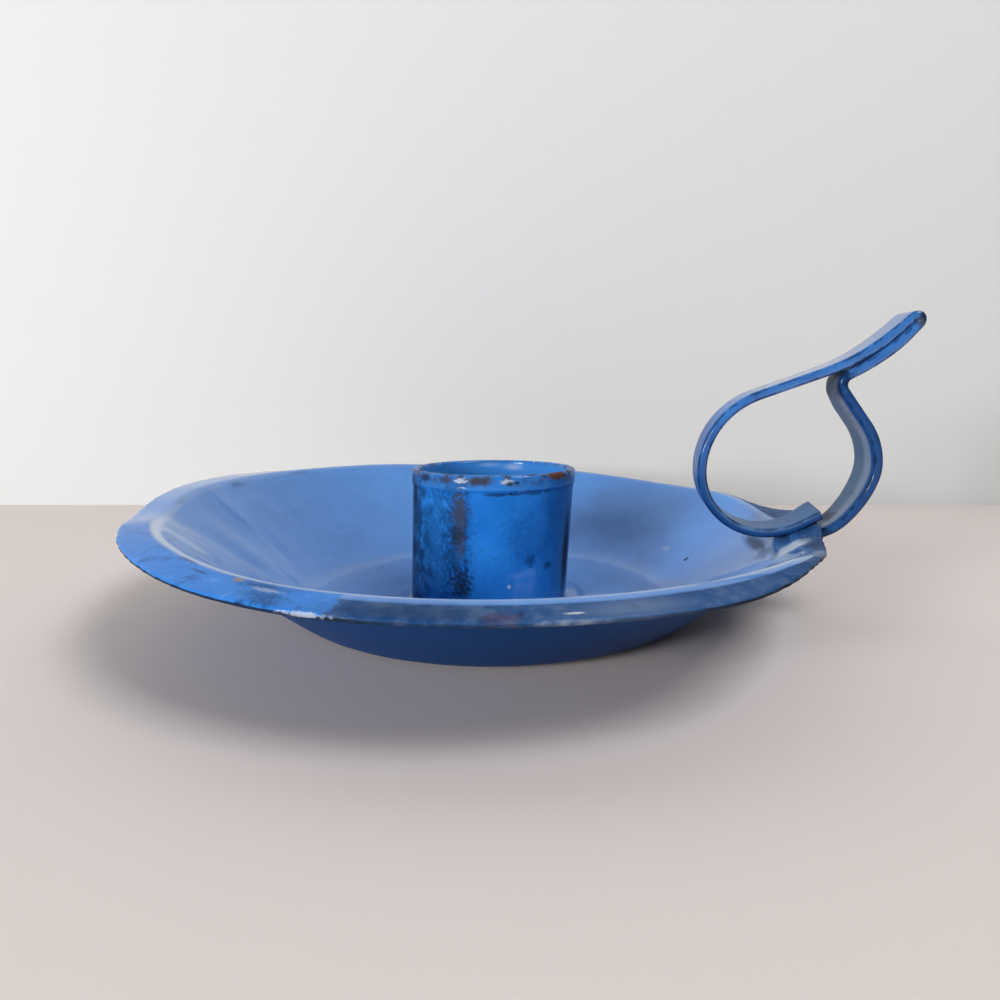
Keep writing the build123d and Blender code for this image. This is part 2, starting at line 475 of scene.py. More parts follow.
    def press_seat(self, bm: bmesh.types.BMesh) -> None:
        """Moves the ring near the handle onto the seat's sections."""
        run, side, beyond = layers(bm, Mark.RUN, Mark.SIDE, Mark.BEYOND)
        lines: dict[float, BentLine] = {}
        for vert in bm.verts:
            azimuth = round(azimuth_of(vert), 4)
            if abs(azimuth) < self.trim_end:
                line = lines.setdefault(azimuth, self.section(azimuth))
                spot = line.at(vert[run], vert[side], vert[beyond])
                way = towards(azimuth)
                vert.co = (way.x * spot.x, way.y * spot.x, spot.y)

    def warp_rim(self, bm: bmesh.types.BMesh) -> None:
        """Bends the wall and the rim a little out of true, as years of use have left them."""
        beyond = layers(bm, Mark.BEYOND)[0]
        for vert in bm.verts:
            reach = Vector((vert.co.x, vert.co.y)).length
            share = ease((reach - self.base_flat_radius) / (self.rim_radius - self.base_flat_radius))
            if share > 0:
                azimuth = azimuth_of(vert)
                spread = apart(azimuth, self.wave_middle)
                wave = self.wave_height * (1 - ease(spread / self.wave_spread)) * ease(4 * share * (1 - share))
                fold = noise.noise((azimuth / self.wave_turn, reach / self.wave_length, 0.0))
                chip = self.edge_rough * noise.noise(vert.co * self.edge_grain) if vert[beyond] > 0 else 0.0
                vert.co *= 1 + chip / reach
                ripple = self.ripple * noise.noise(vert.co / self.ripple_length)
                off = apart(azimuth, self.lift_middle)
                lift = self.flange_lift * (1 - ease((off - self.lift_hold) / self.lift_fade))
                past = max(0.0, reach - self.crest_radius + self.lift_inset)
                vert.co.z += share * round_the_ring(self.rim_lift, azimuth) + wave * fold + ripple + lift * past

    def mark_edge(self, bm: bmesh.types.BMesh) -> None:
        """Marks how near each vertex is to the rim's edge, from 0 to 1 over the flange."""
        run, edge = layers(bm, Mark.RUN, Mark.EDGE)
        last = len(self.move_steps)
        for vert in bm.verts:
            vert[edge] = ease(vert[run] - (last - 1))

    def build(self, material: bpy.types.Material) -> None:
        """Makes the dish.

        Args:
            material: Its finish.
        """
        bm = bmesh.new()
        self.outline(bm)
        spin_ring(bm, self.ring_steps, self.ring_sectors)
        self.press_seat(bm)
        self.warp_rim(bm)
        self.mark_edge(bm)
        bmesh.ops.recalc_face_normals(bm, faces=bm.faces)
        MeshPiece("dish_enamel", "dish", Slot.DISH).settle(bm, material)


@dataclass
class Socket:
    """Candle socket: turned-in foot, rolled wall with its lapped seam, and a thick rolled lip."""

    sheet: float = 1.15
    foot_height: float = 1.4
    rivet_hole: float = 2.3
    bore_radius: float = 12.65
    top: float = 24.05
    foot_bend: float = 1.175
    foot_corner: float = 0.5
    lip_proud: float = 0.2
    lip_height: float = 3.0
    lip_round_share: float = 0.45
    lip_slope: float = 32.0
    lap_width: float = 5.6
    lap_rise: float = 0.3
    lap_edge_angle: float = 261.6
    lap_foot_gap: float = 3.2
    lap_start: float = 0.6
    lap_fade: float = 3.0
    flare_foot: float = 0.1
    flare_top: float = 0.36
    shift_foot: float = -0.76
    shift_top: float = 0.21
    dip: float = 0.031
    lean_azimuth: float = 7.627
    ripple: float = 0.05
    ripple_length: float = 4.5
    bend_steps: int = 6
    bore_steps: int = 12
    wall_steps: int = 24
    lip_fade: tuple[float, ...] = (0.8, 0.5, 0.2, 0.0)
    ring_steps: int = 360
    ring_sectors: int = 20

    def outline(self, bm: bmesh.types.BMesh) -> None:
        """Draws the sheet's outline: out over the foot, up the bore, over the lip, down outside and back underneath."""
        half = self.sheet / 2
        width = self.sheet + self.lip_proud
        roll = self.lip_round_share * width
        reach = self.lip_proud / (1 - math.cos(math.radians(self.lip_slope)))
        drop = reach * math.sin(math.radians(self.lip_slope))
        foot_run = self.bore_radius + half - self.foot_bend - self.rivet_hole
        inner, outer = self.foot_bend - half, self.foot_corner
        pen = SheetPen(bm, Vector((self.rivet_hole, self.foot_height + self.sheet)), 0.0)
        steps, slope_steps = self.bend_steps, len(self.lip_fade)
        pen.straight(foot_run, steps)
        pen.bend(inner, 90, steps)
        pen.straight(self.top - roll - self.foot_height - self.sheet - inner, self.bore_steps)
        lip = pen.bend(roll, -90, steps)
        lip += pen.straight(width - 2 * roll, 1)
        lip += pen.bend(roll, -90, steps)
        bare = [1.0] * len(lip)
        lip += pen.straight(self.lip_height - roll - drop, slope_steps)
        under = pen.bend(reach / 2, -self.lip_slope, slope_steps) + pen.bend(reach / 2, self.lip_slope, slope_steps)
        wall = pen.straight(self.top - self.lip_height - self.foot_height - outer, self.wall_steps)
        pen.bend(outer, -90, steps)
        pen.straight(self.bore_radius + self.sheet - outer - self.rivet_hole, steps)
        pen.close()
        pen.mark(lip, Mark.EDGE, bare + list(self.lip_fade))
        pen.mark(under + wall, Mark.SIDE, [1.0] * (len(under) + len(wall)))

    def lay_lap(self, bm: bmesh.types.BMesh) -> None:
        """Raises the wall where its end laps over its start."""
        side = layers(bm, Mark.SIDE)[0]
        wall_radius = self.bore_radius + self.sheet
        turn = math.degrees(self.lap_width / wall_radius)
        low = self.foot_height + self.lap_foot_gap
        for vert in bm.verts:
            azimuth = azimuth_of(vert) % 360.0
            back = self.lap_edge_angle - azimuth
            if vert[side] > 0.5 and 0 <= back < turn:
                fade = ease((turn - back) / turn * self.lap_fade)
                rise = self.lap_rise * ease((vert.co.z - low) / self.lap_start) * fade
                reach = 1 + rise / wall_radius
                vert.co.x *= reach
                vert.co.y *= reach

    def lean(self, bm: bmesh.types.BMesh) -> None:
        """Opens the wall a little towards the top and lets it lean, outside the rivet's reach."""
        right = towards(self.lean_azimuth)
        back = towards(self.lean_azimuth + 90)
        for vert in bm.verts:
            flat = Vector((vert.co.x, vert.co.y))
            rise = (vert.co.z - self.foot_height) / (self.top - self.foot_height)
            share = ease(flat.length / self.bore_radius * 2 - 1)
            vert.co.z -= self.dip * flat.dot(back) * ease(rise) * share
            ripple = self.ripple * noise.noise(vert.co / self.ripple_length)
            flat *= 1 + share * (mix(self.flare_foot, self.flare_top, rise) + ripple) / flat.length
            flat += right * (share * mix(self.shift_foot, self.shift_top, rise))
            vert.co.xy = flat

    def build(self, material: bpy.types.Material) -> None:
        """Makes the socket.

        Args:
            material: Its finish.
        """
        bm = bmesh.new()
        self.outline(bm)
        spin_ring(bm, self.ring_steps, self.ring_sectors)
        turn = Matrix.Rotation(math.radians(self.lap_edge_angle % 1), 3, "Z")
        bmesh.ops.rotate(bm, cent=(0, 0, 0), matrix=turn, verts=bm.verts)
        self.lay_lap(bm)
        self.lean(bm)
        bmesh.ops.recalc_face_normals(bm, faces=bm.faces)
        MeshPiece("socket_enamel", "socket", Slot.SOCKET).settle(bm, material)


@dataclass
class Strap:
    """Handle: one flat strap bent into the finger loop and folded on itself at the thumb rest."""

    dish: Dish
    sheet: float = 1.55
    width: float = 7.6
    corner_round: float = 0.62
    corner_steps: int = 4
    width_cuts: int = 7
    upper_setback: float = 0.4
    lower_setback: float = 0.7
    rivet_setback: float = 2.3
    upper_foot_length: float = 3.7
    floor_bend_radius: float = 12.8
    back_bend_radius: float = 10.4
    back_bend_angle: float = 90.0
    nose_bend_radius: float = 13.2
    bar_slope: float = 20.5
    bar_length: float = 10.4
    thumb_bend_radius: float = 30.0
    thumb_bend_angle: float = 28.0
    fold_gap: float = 0.35
    fold_return_angle: float = 21.6
    throat_bend_radius: float = 1.75
    front_slope: float = 54.0
    front_foot_margin: float = 0.3
    spring_moves: int = 2
    spring_length: float = 4.0
    spring_reach: float = 0.9
    spring_rise: float = 0.75
    spring_twist: float = 0.066
    front_twist: float = 0.9
    twist_run: Span = (8.6, 11.2)
    twist_fade: float = 0.8
    front_tuck: float = 0.4
    tuck_run: Span = (10.3, 11.0)
    tuck_fades: Span = (0.35, 0.3)
    tuck_rise: float = 0.6
    tip_move: int = 6
    thumb_run: Span = (5.0, 8.0)
    thumb_fade: float = 0.6
    tip_length: float = 4.0
    tip_squeeze: float = 0.14
    tip_reach: float = 0.4
    gap_fill: float = 0.13
    ring_length: float = 0.5
    ring_turn: float = 2.5
    bend_least: int = 4

    def line(self) -> BentLine:
        """Middle line of the strap from its end on the seat to its end under the seat."""
        lift = self.dish.sheet / 2 + self.sheet / 2
        slope = self.dish.seat_slope
        start = self.dish.seat_point(self.dish.seat_outer - self.upper_setback, lift)
        ply = self.sheet + self.fold_gap
        back_slope = self.bar_slope + self.thumb_bend_angle - self.fold_return_angle
        moves = [
            (self.upper_foot_length, 0),
            (self.floor_bend_radius, -slope),
            (self.back_bend_radius, -self.back_bend_angle),
            (self.nose_bend_radius, self.back_bend_angle + self.bar_slope - 180),
            (self.bar_length, 0),
            (self.thumb_bend_radius, self.thumb_bend_angle),
            (ply / 2, -180),
            (self.thumb_bend_radius + ply, -self.fold_return_angle),
            (self.throat_bend_radius, 180 - back_slope - self.front_slope),
        ]
        throat_end, _ = BentLine(start, 180 + slope, moves).end()
        under_end = self.dish.seat_point(self.dish.seat_inner + self.lower_setback, -lift)
        corner = meet(throat_end, -self.front_slope, under_end, slope)
        front_turn = 180 - self.front_slope - slope
        front_foot = self.dish.seat_point(self.dish.seat_outer + self.front_foot_margin, -lift)
        run = (corner - front_foot).length
        moves += [
            ((corner - throat_end).length - run, 0),
            (run / math.tan(math.radians(front_turn / 2)), -front_turn),
            ((front_foot - under_end).length, 0),
        ]
        return BentLine(start, 180 + slope, moves)

    def cross_section(self, bm: bmesh.types.BMesh, line: BentLine) -> list[bmesh.types.BMEdge]:
        """Makes the strap's rounded cross-section at the start of its line.

        Args:
            bm: The mesh to make it in.
            line: The strap's middle line.

        Returns:
            The edges of the section's loop.
        """
        for mark in Mark:
            bm.verts.layers.float.new(mark.value)
        edge, side, beyond = layers(bm, Mark.EDGE, Mark.SIDE, Mark.BEYOND)
        bmesh.ops.create_grid(bm, x_segments=1, y_segments=1, size=0.5)
        bmesh.ops.scale(bm, vec=(self.sheet, self.width, 1.0), verts=bm.verts)
        bmesh.ops.bevel(
            bm, geom=bm.verts[:], offset=self.corner_round, segments=self.corner_steps, profile=0.5,
            affect="VERTICES", material=-1,
        )
        bmesh.ops.delete(bm, geom=bm.faces[:], context="FACES_ONLY")
        for vert in bm.verts:
            across = self.sheet / 2 - abs(vert.co.x)
            along = self.width / 2 - abs(vert.co.y)
            turn = math.atan2(self.corner_round - across, self.corner_round - along)
            vert[edge] = math.sin(2 * turn)
        wide = [e for e in bm.edges if e.calc_length() > self.width / 2]
        bmesh.ops.subdivide_edges(bm, edges=wide, cuts=self.width_cuts)
        for vert in bm.verts:
            vert[side] = 2 * vert.co.x / self.sheet
            vert[beyond] = 2 * vert.co.y / self.width
        left = math.radians(line.heading + 90)
        axes = Matrix(((math.cos(left), 0, math.sin(left)), (0, 1, 0), (math.sin(left), 0, -math.cos(left))))
        bmesh.ops.rotate(bm, cent=(0, 0, 0), matrix=axes.to_3x3(), verts=bm.verts)
        bmesh.ops.translate(bm, vec=(line.start.x, 0, line.start.y), verts=bm.verts)
        return bm.edges[:]

    def sweep(self, bm: bmesh.types.BMesh, line: BentLine, loop: list[bmesh.types.BMEdge]) -> None:
        """Carries the cross-section along the line.

        Args:
            bm: The mesh to make the strap in.
            line: The strap's middle line.
            loop: The edges of the section at the line's start.
        """
        bmesh.ops.contextual_create(bm, geom=loop)
        run = layers(bm, Mark.RUN)[0]
        for i, (size, turn) in enumerate(line.moves):
            point, heading = line.point(i)
            known = len(bm.verts)
            if turn:
                side = towards(heading + 90) * math.copysign(size, turn)
                steps = max(self.bend_least, round(abs(turn) / self.ring_turn))
                verts = list({v for e in loop for v in e.verts})
                made = bmesh.ops.spin(
                    bm, geom=verts + loop, cent=(point.x + side.x, 0, point.y + side.y), axis=(0, -1, 0),
                    angle=math.radians(turn), steps=steps,
                )["geom_last"]
                loop = [e for e in made if isinstance(e, bmesh.types.BMEdge)]
            else:
                steps = max(1, round(size / self.ring_length))
                way = towards(heading) * (size / steps)
                for _ in range(steps):
                    made = bmesh.ops.extrude_edge_only(bm, edges=loop)["geom"]
                    loop = [e for e in made if isinstance(e, bmesh.types.BMEdge)]
                    verts = list({v for e in loop for v in e.verts})
                    bmesh.ops.translate(bm, vec=(way.x, 0, way.y), verts=verts)
            bm.verts.ensure_lookup_table()
            for k, vert in enumerate(bm.verts[known:]):
                vert[run] = i + (k // len(loop) + 1) / steps
        bmesh.ops.contextual_create(bm, geom=loop)

    def spring_end(self, bm: bmesh.types.BMesh, line: BentLine) -> None:
        """Lifts and draws out the end that lies on the rim, and twists the front of the loop a little.

        Args:
            bm: The strap's mesh.
            line: Its middle line.
        """
        run = layers(bm, Mark.RUN)[0]
        out, up = towards(line.heading + 180), towards(line.heading - 90)
        for vert in bm.verts:
            offset = Vector((vert.co.x, vert.co.z)) - line.start
            sprung = vert[run] < self.spring_moves
            share = ease(1 + offset.dot(out) / self.spring_length) if sprung else 0.0
            move = out * self.spring_reach + up * (self.spring_rise + self.spring_twist * vert.co.y)
            front = ease(vert[run] - self.twist_run[0]) * ease((self.twist_run[1] - vert[run]) / self.twist_fade)
            twist = self.front_twist * front * (vert.co.y / self.width + 0.5)
            low = ease((vert[run] - self.tuck_run[0]) / self.tuck_fades[0])
            tuck = self.front_tuck * low * ease((self.tuck_run[1] - vert[run]) / self.tuck_fades[1])
            vert.co += Vector((move.x * share - twist - tuck, 0.0, move.y * share + self.tuck_rise * tuck))

    def flatten_tip(self, bm: bmesh.types.BMesh, line: BentLine) -> None:
        """Presses the fold shut and beats it thinner towards the tip of the thumb rest.

        Args:
            bm: The strap's mesh.
            line: Its middle line.
        """
        run, side = layers(bm, Mark.RUN, Mark.SIDE)
        first, last = self.thumb_run
        point, heading = line.point(self.tip_move)
        along, across = towards(heading), towards(heading + 90)
        centre = point - across * ((self.sheet + self.fold_gap) / 2)
        for vert in bm.verts:
            if first < vert[run] < last:
                offset = Vector((vert.co.x, vert.co.z)) - centre
                share = ease(1 + offset.dot(along) / self.tip_length)
                held = ease((vert[run] - first) / self.thumb_fade) * ease((last - vert[run]) / self.thumb_fade)
                shut = held * max(0.0, -vert[side])
                move = along * (self.tip_reach * share) - across * (offset.dot(across) * self.tip_squeeze * share)
                move += towards(line.point(vert[run])[1] - 90) * (self.gap_fill * shut)
                vert.co += Vector((move.x, 0.0, move.y))

    def build(self, material: bpy.types.Material) -> None:
        """Makes the handle.

        Args:
            material: Its finish.
        """
        bm = bmesh.new()
        line = self.line()
        loop = self.cross_section(bm, line)
        self.sweep(bm, line, loop)
        self.spring_end(bm, line)
        self.flatten_tip(bm, line)
        bmesh.ops.remove_doubles(bm, verts=bm.verts, dist=MERGE)
        bmesh.ops.recalc_face_normals(bm, faces=bm.faces)
        MeshPiece("handle_enamel", "handle_strap", Slot.STRAP).settle(bm, material)


@dataclass
class Rivet:
    """Set rivet: a shank between a head and a tail, each a low dome."""

    name: str
    node: str
    slot: Slot
    shank_radius: float
    grip: float
    head: tuple[float, float]
    tail: tuple[float, float]
    place: Matrix
    ring_steps: int = 64
    ring_sectors: int = 8
    dome_steps: int = 10
    face_steps: int = 2
    shank_steps: int = 4

    def dome(self, pen: SheetPen, radius: float, height: float, inwards: bool) -> None:
        """Draws half a dome.

        Args:
            pen: The pen to draw with.
            radius: The dome's radius at its foot.
            height: Its height.
            inwards: Whether the line runs from the foot to the axis.
        """
        ball = (radius * radius + height * height) / (2 * height)
        half = math.degrees(math.asin(radius / ball))
        pen.heading = half - 180.0 if inwards else 0.0
        pen.bend(ball, -half, self.dome_steps)

    def build(self, material: bpy.types.Material) -> None:
        """Makes the rivet.

        Args:
            material: Its finish.
        """
        bm = bmesh.new()
        pen = SheetPen(bm, Vector((0.0, self.head[1])), 0.0)
        self.dome(pen, *self.head, inwards=False)
        pen.heading = 180.0
        pen.straight(self.head[0] - self.shank_radius, self.face_steps)
        pen.heading = -90.0
        pen.straight(self.grip, self.shank_steps)
        pen.heading = 0.0
        pen.straight(self.tail[0] - self.shank_radius, self.face_steps)
        self.dome(pen, *self.tail, inwards=True)
        # A SIDE of -1 gives the rivets the socket's painted inner light and the strap's foot tint.
        pen.mark(bm.verts, Mark.SIDE, [-1.0] * len(bm.verts))
        spin_ring(bm, self.ring_steps, self.ring_sectors)
        bmesh.ops.transform(bm, matrix=self.place, verts=bm.verts)
        bmesh.ops.recalc_face_normals(bm, faces=bm.faces)
        MeshPiece(self.name, self.node, self.slot).settle(bm, material)


class Graph:
    """Adds nodes to the tree of a material or a group."""

    def __init__(self, tree: bpy.types.NodeTree) -> None:
        """Takes the tree to work in."""
        self.tree = tree

    def add(self, kind: str, **settings: object) -> bpy.types.Node:
        """Adds a node.

        Args:
            kind: The node's type.
            **settings: Its properties.

        Returns:
            The node.
        """
        node = self.tree.nodes.new(kind)
        for name, value in settings.items():
            setattr(node, name, value)
        return node

    def feed(self, target: bpy.types.NodeSocket, value: Value) -> None:
        """Links a socket, or sets a constant on it."""
        if isinstance(value, bpy.types.NodeSocket):
            self.tree.links.new(value, target)
        else:
            target.default_value = value

    def math(self, operation: str, *values: Value, clamp: bool = False) -> bpy.types.NodeSocket:
        """Works on numbers.

        Args:
            operation: The operation's name.
            *values: Its inputs in order.
            clamp: Whether the result stays between 0 and 1.

        Returns:
            The result.
        """
        node = self.add("ShaderNodeMath", operation=operation, use_clamp=clamp)
        for target, value in zip(node.inputs, values):
            self.feed(target, value)
        return node.outputs[0]

    def vector(self, operation: str, first: Value, second: Value) -> bpy.types.NodeSocket:
        """Works on two vectors.

        Args:
            operation: The operation's name.
            first: The first vector.
            second: The second vector, or the factor of a scale.

        Returns:
            The resulting vector.
        """
        node = self.add("ShaderNodeVectorMath", operation=operation)
        self.feed(node.inputs[0], first)
        self.feed(node.inputs["Scale"] if operation == "SCALE" else node.inputs[1], second)
        return node.outputs[0]

    def length(self, vector: Value) -> bpy.types.NodeSocket:
        """Length of a vector."""
        node = self.add("ShaderNodeVectorMath", operation="LENGTH")
        self.feed(node.inputs[0], vector)
        return node.outputs["Value"]

    def split(self, vector: Value) -> list[bpy.types.NodeSocket]:
        """Parts of a vector along X, Y and Z."""
        node = self.add("ShaderNodeSeparateXYZ")
        self.feed(node.inputs[0], vector)
        return list(node.outputs)

    def span(self, value: Value, low: Value, high: Value) -> bpy.types.NodeSocket:
        """Smooth step of a value.

        Args:
            value: The value.
            low: Where the step starts, at 0.
            high: Where it ends, at 1.

        Returns:
            The step.
        """
        node = self.add("ShaderNodeMapRange", interpolation_type="SMOOTHSTEP")
        self.feed(node.inputs["Value"], value)
        self.feed(node.inputs["From Min"], low)
        self.feed(node.inputs["From Max"], high)
        return node.outputs[0]

    def noise(self, vector: Value, scale: Value, detail: float = 3.0, rough: float = 0.5) -> bpy.types.NodeSocket:
        """Cloudy noise.

        Args:
            vector: Where to read it.
            scale: Its scale.
            detail: Its octaves.
            rough: The weight of the finer octaves.

        Returns:
            Values about one half.
        """
        node = self.add("ShaderNodeTexNoise")
        self.feed(node.inputs["Vector"], vector)
        self.feed(node.inputs["Scale"], scale)
        node.inputs["Detail"].default_value = detail
        node.inputs["Roughness"].default_value = rough
        return node.outputs[0]

    def times(self, first: Value, *others: Value) -> Value:
        """Product of numbers."""
        for value in others:
            first = self.math("MULTIPLY", first, value)
        return first

    def blend(self, share: Value, first: Value, second: Value, kind: str = "RGBA") -> bpy.types.NodeSocket:
        """Mixes two colours or two numbers.

        Args:
            share: The second one's share.
            first: The first colour or number.
            second: The second colour or number.
            kind: RGBA for colours and FLOAT for numbers.

        Returns:
            The mixture.
        """
        one, two, out = MIX_SOCKETS[kind]
        node = self.add("ShaderNodeMix", data_type=kind)
        for place, value in ((0, share), (one, first), (two, second)):
            self.feed(node.inputs[place], value)
        return node.outputs[out]

    def use(self, group: bpy.types.NodeTree, **values: Value) -> bpy.types.NodeSocket:
        """Places a group.

        Args:
            group: The group.
            **values: Its inputs by name.

        Returns:
            The group's first output.
        """
        node = self.add("ShaderNodeGroup", node_tree=group)
        for name, value in values.items():
            self.feed(node.inputs[name], value)
        return node.outputs[0]


class Effects:
    """Shared surface effects, each a node group that is built once. Positions are in millimetres."""

    FLECK_GATHER = 0.8
    FLECK_LEVEL = 0.36
    FLECK_SOFT = 0.2
    EDGE_SOFT = 0.06

    def __init__(self) -> None:
        """Builds the groups."""
        self.patch = self.build_patch()
        self.fleck = self.build_fleck()
        self.worn_edge = self.build_worn_edge()

    def start(
        self, name: str, **inputs: str
    ) -> tuple[Graph, dict[str, bpy.types.NodeSocket], bpy.types.NodeSocket]:
        """Opens a new group that gives a mask.

        Args:
            name: The group's name.
            **inputs: Its inputs, each with the last part of its socket type.

        Returns:
            The graph to fill, the inputs by name and the socket that takes the mask.
        """
        tree = bpy.data.node_groups.new(name, "ShaderNodeTree")
        for title, kind in inputs.items():
            tree.interface.new_socket(title, in_out="INPUT", socket_type="NodeSocket" + kind)
        tree.interface.new_socket("Mask", in_out="OUTPUT", socket_type="NodeSocketFloat")
        graph = Graph(tree)
        source, sink = graph.add("NodeGroupInput"), graph.add("NodeGroupOutput")
        return graph, {title: source.outputs[title] for title in inputs}, sink.inputs["Mask"]

    def build_patch(self) -> bpy.types.NodeTree:
        """Patch with a rough outline round a point, given by its azimuth and its place on that bearing."""
        graph, take, give = self.start(
            "rough_patch", Position="Vector", Azimuth="Float", Centre="Vector", Size="Vector", Rough="Float",
            Soft="Float",
        )
        turn = graph.add("ShaderNodeVectorRotate", rotation_type="Z_AXIS", invert=True)
        graph.feed(turn.inputs["Vector"], take["Position"])
        graph.feed(turn.inputs["Angle"], take["Azimuth"])
        offset = graph.vector("SUBTRACT", turn.outputs[0], take["Centre"])
        far = graph.math("ADD", graph.length(graph.vector("DIVIDE", offset, take["Size"])), take["Rough"])
        graph.feed(give, graph.span(
            far, graph.math("ADD", 1.0, take["Soft"]), graph.math("SUBTRACT", 1.0, take["Soft"])
        ))
        return graph.tree

    def build_fleck(self) -> bpy.types.NodeTree:
        """Small flecks of a fine grain that gather where a broad grain is high."""
        graph, take, give = self.start("fleck", Fine="Float", Broad="Float", Cover="Float")
        both = graph.math("ADD", take["Fine"], graph.times(take["Broad"], self.FLECK_GATHER))
        start = graph.math("SUBTRACT", self.FLECK_LEVEL, take["Cover"])
        graph.feed(give, graph.span(both, start, graph.math("ADD", start, self.FLECK_SOFT)))
        return graph.tree

    def build_worn_edge(self) -> bpy.types.NodeTree:
        """Broken line of wear along an edge."""
        graph, take, give = self.start("worn_edge", Edge="Float", Rough="Float", Reach="Float")
        near = graph.math("ADD", take["Edge"], take["Rough"])
        start = graph.math("SUBTRACT", 1.0, take["Reach"])
        graph.feed(give, graph.span(near, start, graph.math("ADD", start, self.EDGE_SOFT)))
        return graph.tree


class WearAndPaintedLight(Enum):
    """Kinds of damage and dirt, each with its colour, roughness and depth in millimetres. The dark and iron kinds also
    serve as painted shade, and the pale kind as painted highlights and reflections.
    """

    IRON_AND_SHADE = ((0.010, 0.011, 0.014, 1.0), 0.5, 0.05)
    DARK = ((0.004, 0.018, 0.06, 1.0), 0.3, 0.02)
    RUST = ((0.13, 0.05, 0.024, 1.0), 0.7, 0.04)
    OCHRE = ((0.3, 0.23, 0.12, 1.0), 0.6, 0.03)
    GRIME = ((0.05, 0.05, 0.055, 1.0), 0.5, 0.01)
    GREY = ((0.14, 0.15, 0.17, 1.0), 0.45, 0.02)
    PALE = ((0.5, 0.57, 0.66, 1.0), 0.3, 0.01)
    SMEAR = ((0.05, 0.1, 0.21, 1.0), 0.3, 0.0)


class Grain(Enum):
    """Sizes of the rough grain in an outline: waves per millimetre."""

    FINE = 1.5
    MIDDLE = 0.5
    BROAD = 0.14


@dataclass(frozen=True)
class Blemish:
    """One mark on a finish: its kind, its place round the axis and its half sizes outwards, around and upwards."""

    wear: WearAndPaintedLight
    reach: float
    azimuth: float
    height: float
    size: tuple[float, float, float]
    ragged: float = 1.0
    strength: float = 1.0
    grain: Grain = Grain.FINE
    soft: float = 0.2


class Coat:
    """Colour, roughness and height of one finish while its marks are laid over it."""

    GRAIN_DETAIL = 4.0
    GRAIN_ROUGH = 0.6
    SHINE = {"Coat Roughness": 0.06, "Coat IOR": 1.65, "Specular IOR Level": 0.04}

    def __init__(self, name: str, effects: Effects) -> None:
        """Opens the material.

        Args:
            name: The material's name.
            effects: The shared groups.
        """
        self.effects = effects
        self.material = bpy.data.materials.new(name)
        self.material.use_nodes = True
        self.graph = Graph(self.material.node_tree)
        self.shader = self.material.node_tree.nodes["Principled BSDF"]
        place = self.graph.add("ShaderNodeTexCoord")
        self.position = self.graph.vector("SCALE", place.outputs["Object"], 1.0 / MM)
        self.grain = {grain: self.cloud(grain.value) for grain in Grain}
        self.colour: Value = (0.0, 0.0, 0.0, 1.0)
        self.roughness: Value = 0.2
        self.height: Value = 0.0
        self.gloss: Value = 1.0

    def cloud(self, scale: float) -> bpy.types.NodeSocket:
        """Noise about zero, with a number of waves per millimetre."""
        waves = self.graph.noise(self.position, scale, self.GRAIN_DETAIL, self.GRAIN_ROUGH)
        return self.graph.math("SUBTRACT", waves, 0.5)

    def attribute(self, mark: Mark) -> bpy.types.NodeSocket:
        """Reads a measure that the mesh carries."""
        return self.graph.add("ShaderNodeAttribute", attribute_name=mark.value).outputs["Fac"]

    def tint(self, mask: Value, colour: Value, strength: float = 1.0) -> None:
        """Changes the colour alone where a mask is."""
        self.colour = self.graph.blend(self.graph.times(mask, strength), self.colour, colour)

    def dull(self, mask: Value, roughness: float, strength: float) -> None:
        """Takes gloss away where a mask is.

        Args:
            mask: Where the finish is dull.
            roughness: Its roughness there.
            strength: How much of the gloss is lost.
        """
        graph = self.graph
        share = graph.times(mask, strength)
        self.roughness = graph.blend(share, self.roughness, roughness, "FLOAT")
        self.gloss = graph.times(self.gloss, graph.math("SUBTRACT", 1.0, share))

    def lay(self, mask: Value, wear: WearAndPaintedLight, strength: float = 1.0) -> None:
        """Lays a kind of wear or dirt, or a painted shade or highlight, where a mask is.

        Args:
            mask: Where it lies.
            wear: Its kind.
            strength: How much of it shows.
        """
        colour, roughness, depth = wear.value
        self.tint(mask, colour, strength)
        self.dull(mask, roughness, strength)
        self.height = self.graph.math("MULTIPLY_ADD", mask, -depth * strength, self.height)

    def blemish(self, mark: Blemish) -> None:
        """Lays one mark in its place."""
        mask = self.graph.use(
            self.effects.patch, Position=self.position, Azimuth=math.radians(mark.azimuth),
            Centre=(mark.reach, 0.0, mark.height), Size=mark.size,
            Rough=self.graph.times(self.grain[mark.grain], mark.ragged), Soft=mark.soft,
        )
        self.lay(mask, mark.wear, mark.strength)

    def flecks(self, cover: float, wear: WearAndPaintedLight, strength: float, where: Value = 1.0) -> None:
        """Lays flecks over the finish.

        Args:
            cover: How much of it they cover.
            wear: Their kind.
            strength: How much of them shows.
            where: A mask that holds them.
        """
        mask = self.graph.use(
            self.effects.fleck, Fine=self.grain[Grain.FINE], Broad=self.grain[Grain.BROAD], Cover=cover
        )
        self.lay(self.graph.times(mask, where), wear, strength)

    def finish(self, coat: float, bump: float) -> bpy.types.Material:
        """Joins everything to the shader.

        Args:
            coat: Weight of the glassy top coat where nothing is worn.
            bump: Strength of the bumps.

        Returns:
            The material.
        """
        graph = self.graph
        graph.feed(self.shader.inputs["Base Color"], self.colour)
        graph.feed(self.shader.inputs["Roughness"], self.roughness)
        graph.feed(self.shader.inputs["Coat Weight"], graph.times(self.gloss, coat))
        for title, value in self.SHINE.items():
            self.shader.inputs[title].default_value = value
        relief = graph.add("ShaderNodeBump")
        relief.inputs["Strength"].default_value = bump
        relief.inputs["Distance"].default_value = MM
        graph.feed(relief.inputs["Height"], self.height)
        graph.feed(self.shader.inputs["Normal"], relief.outputs[0])
        return self.material


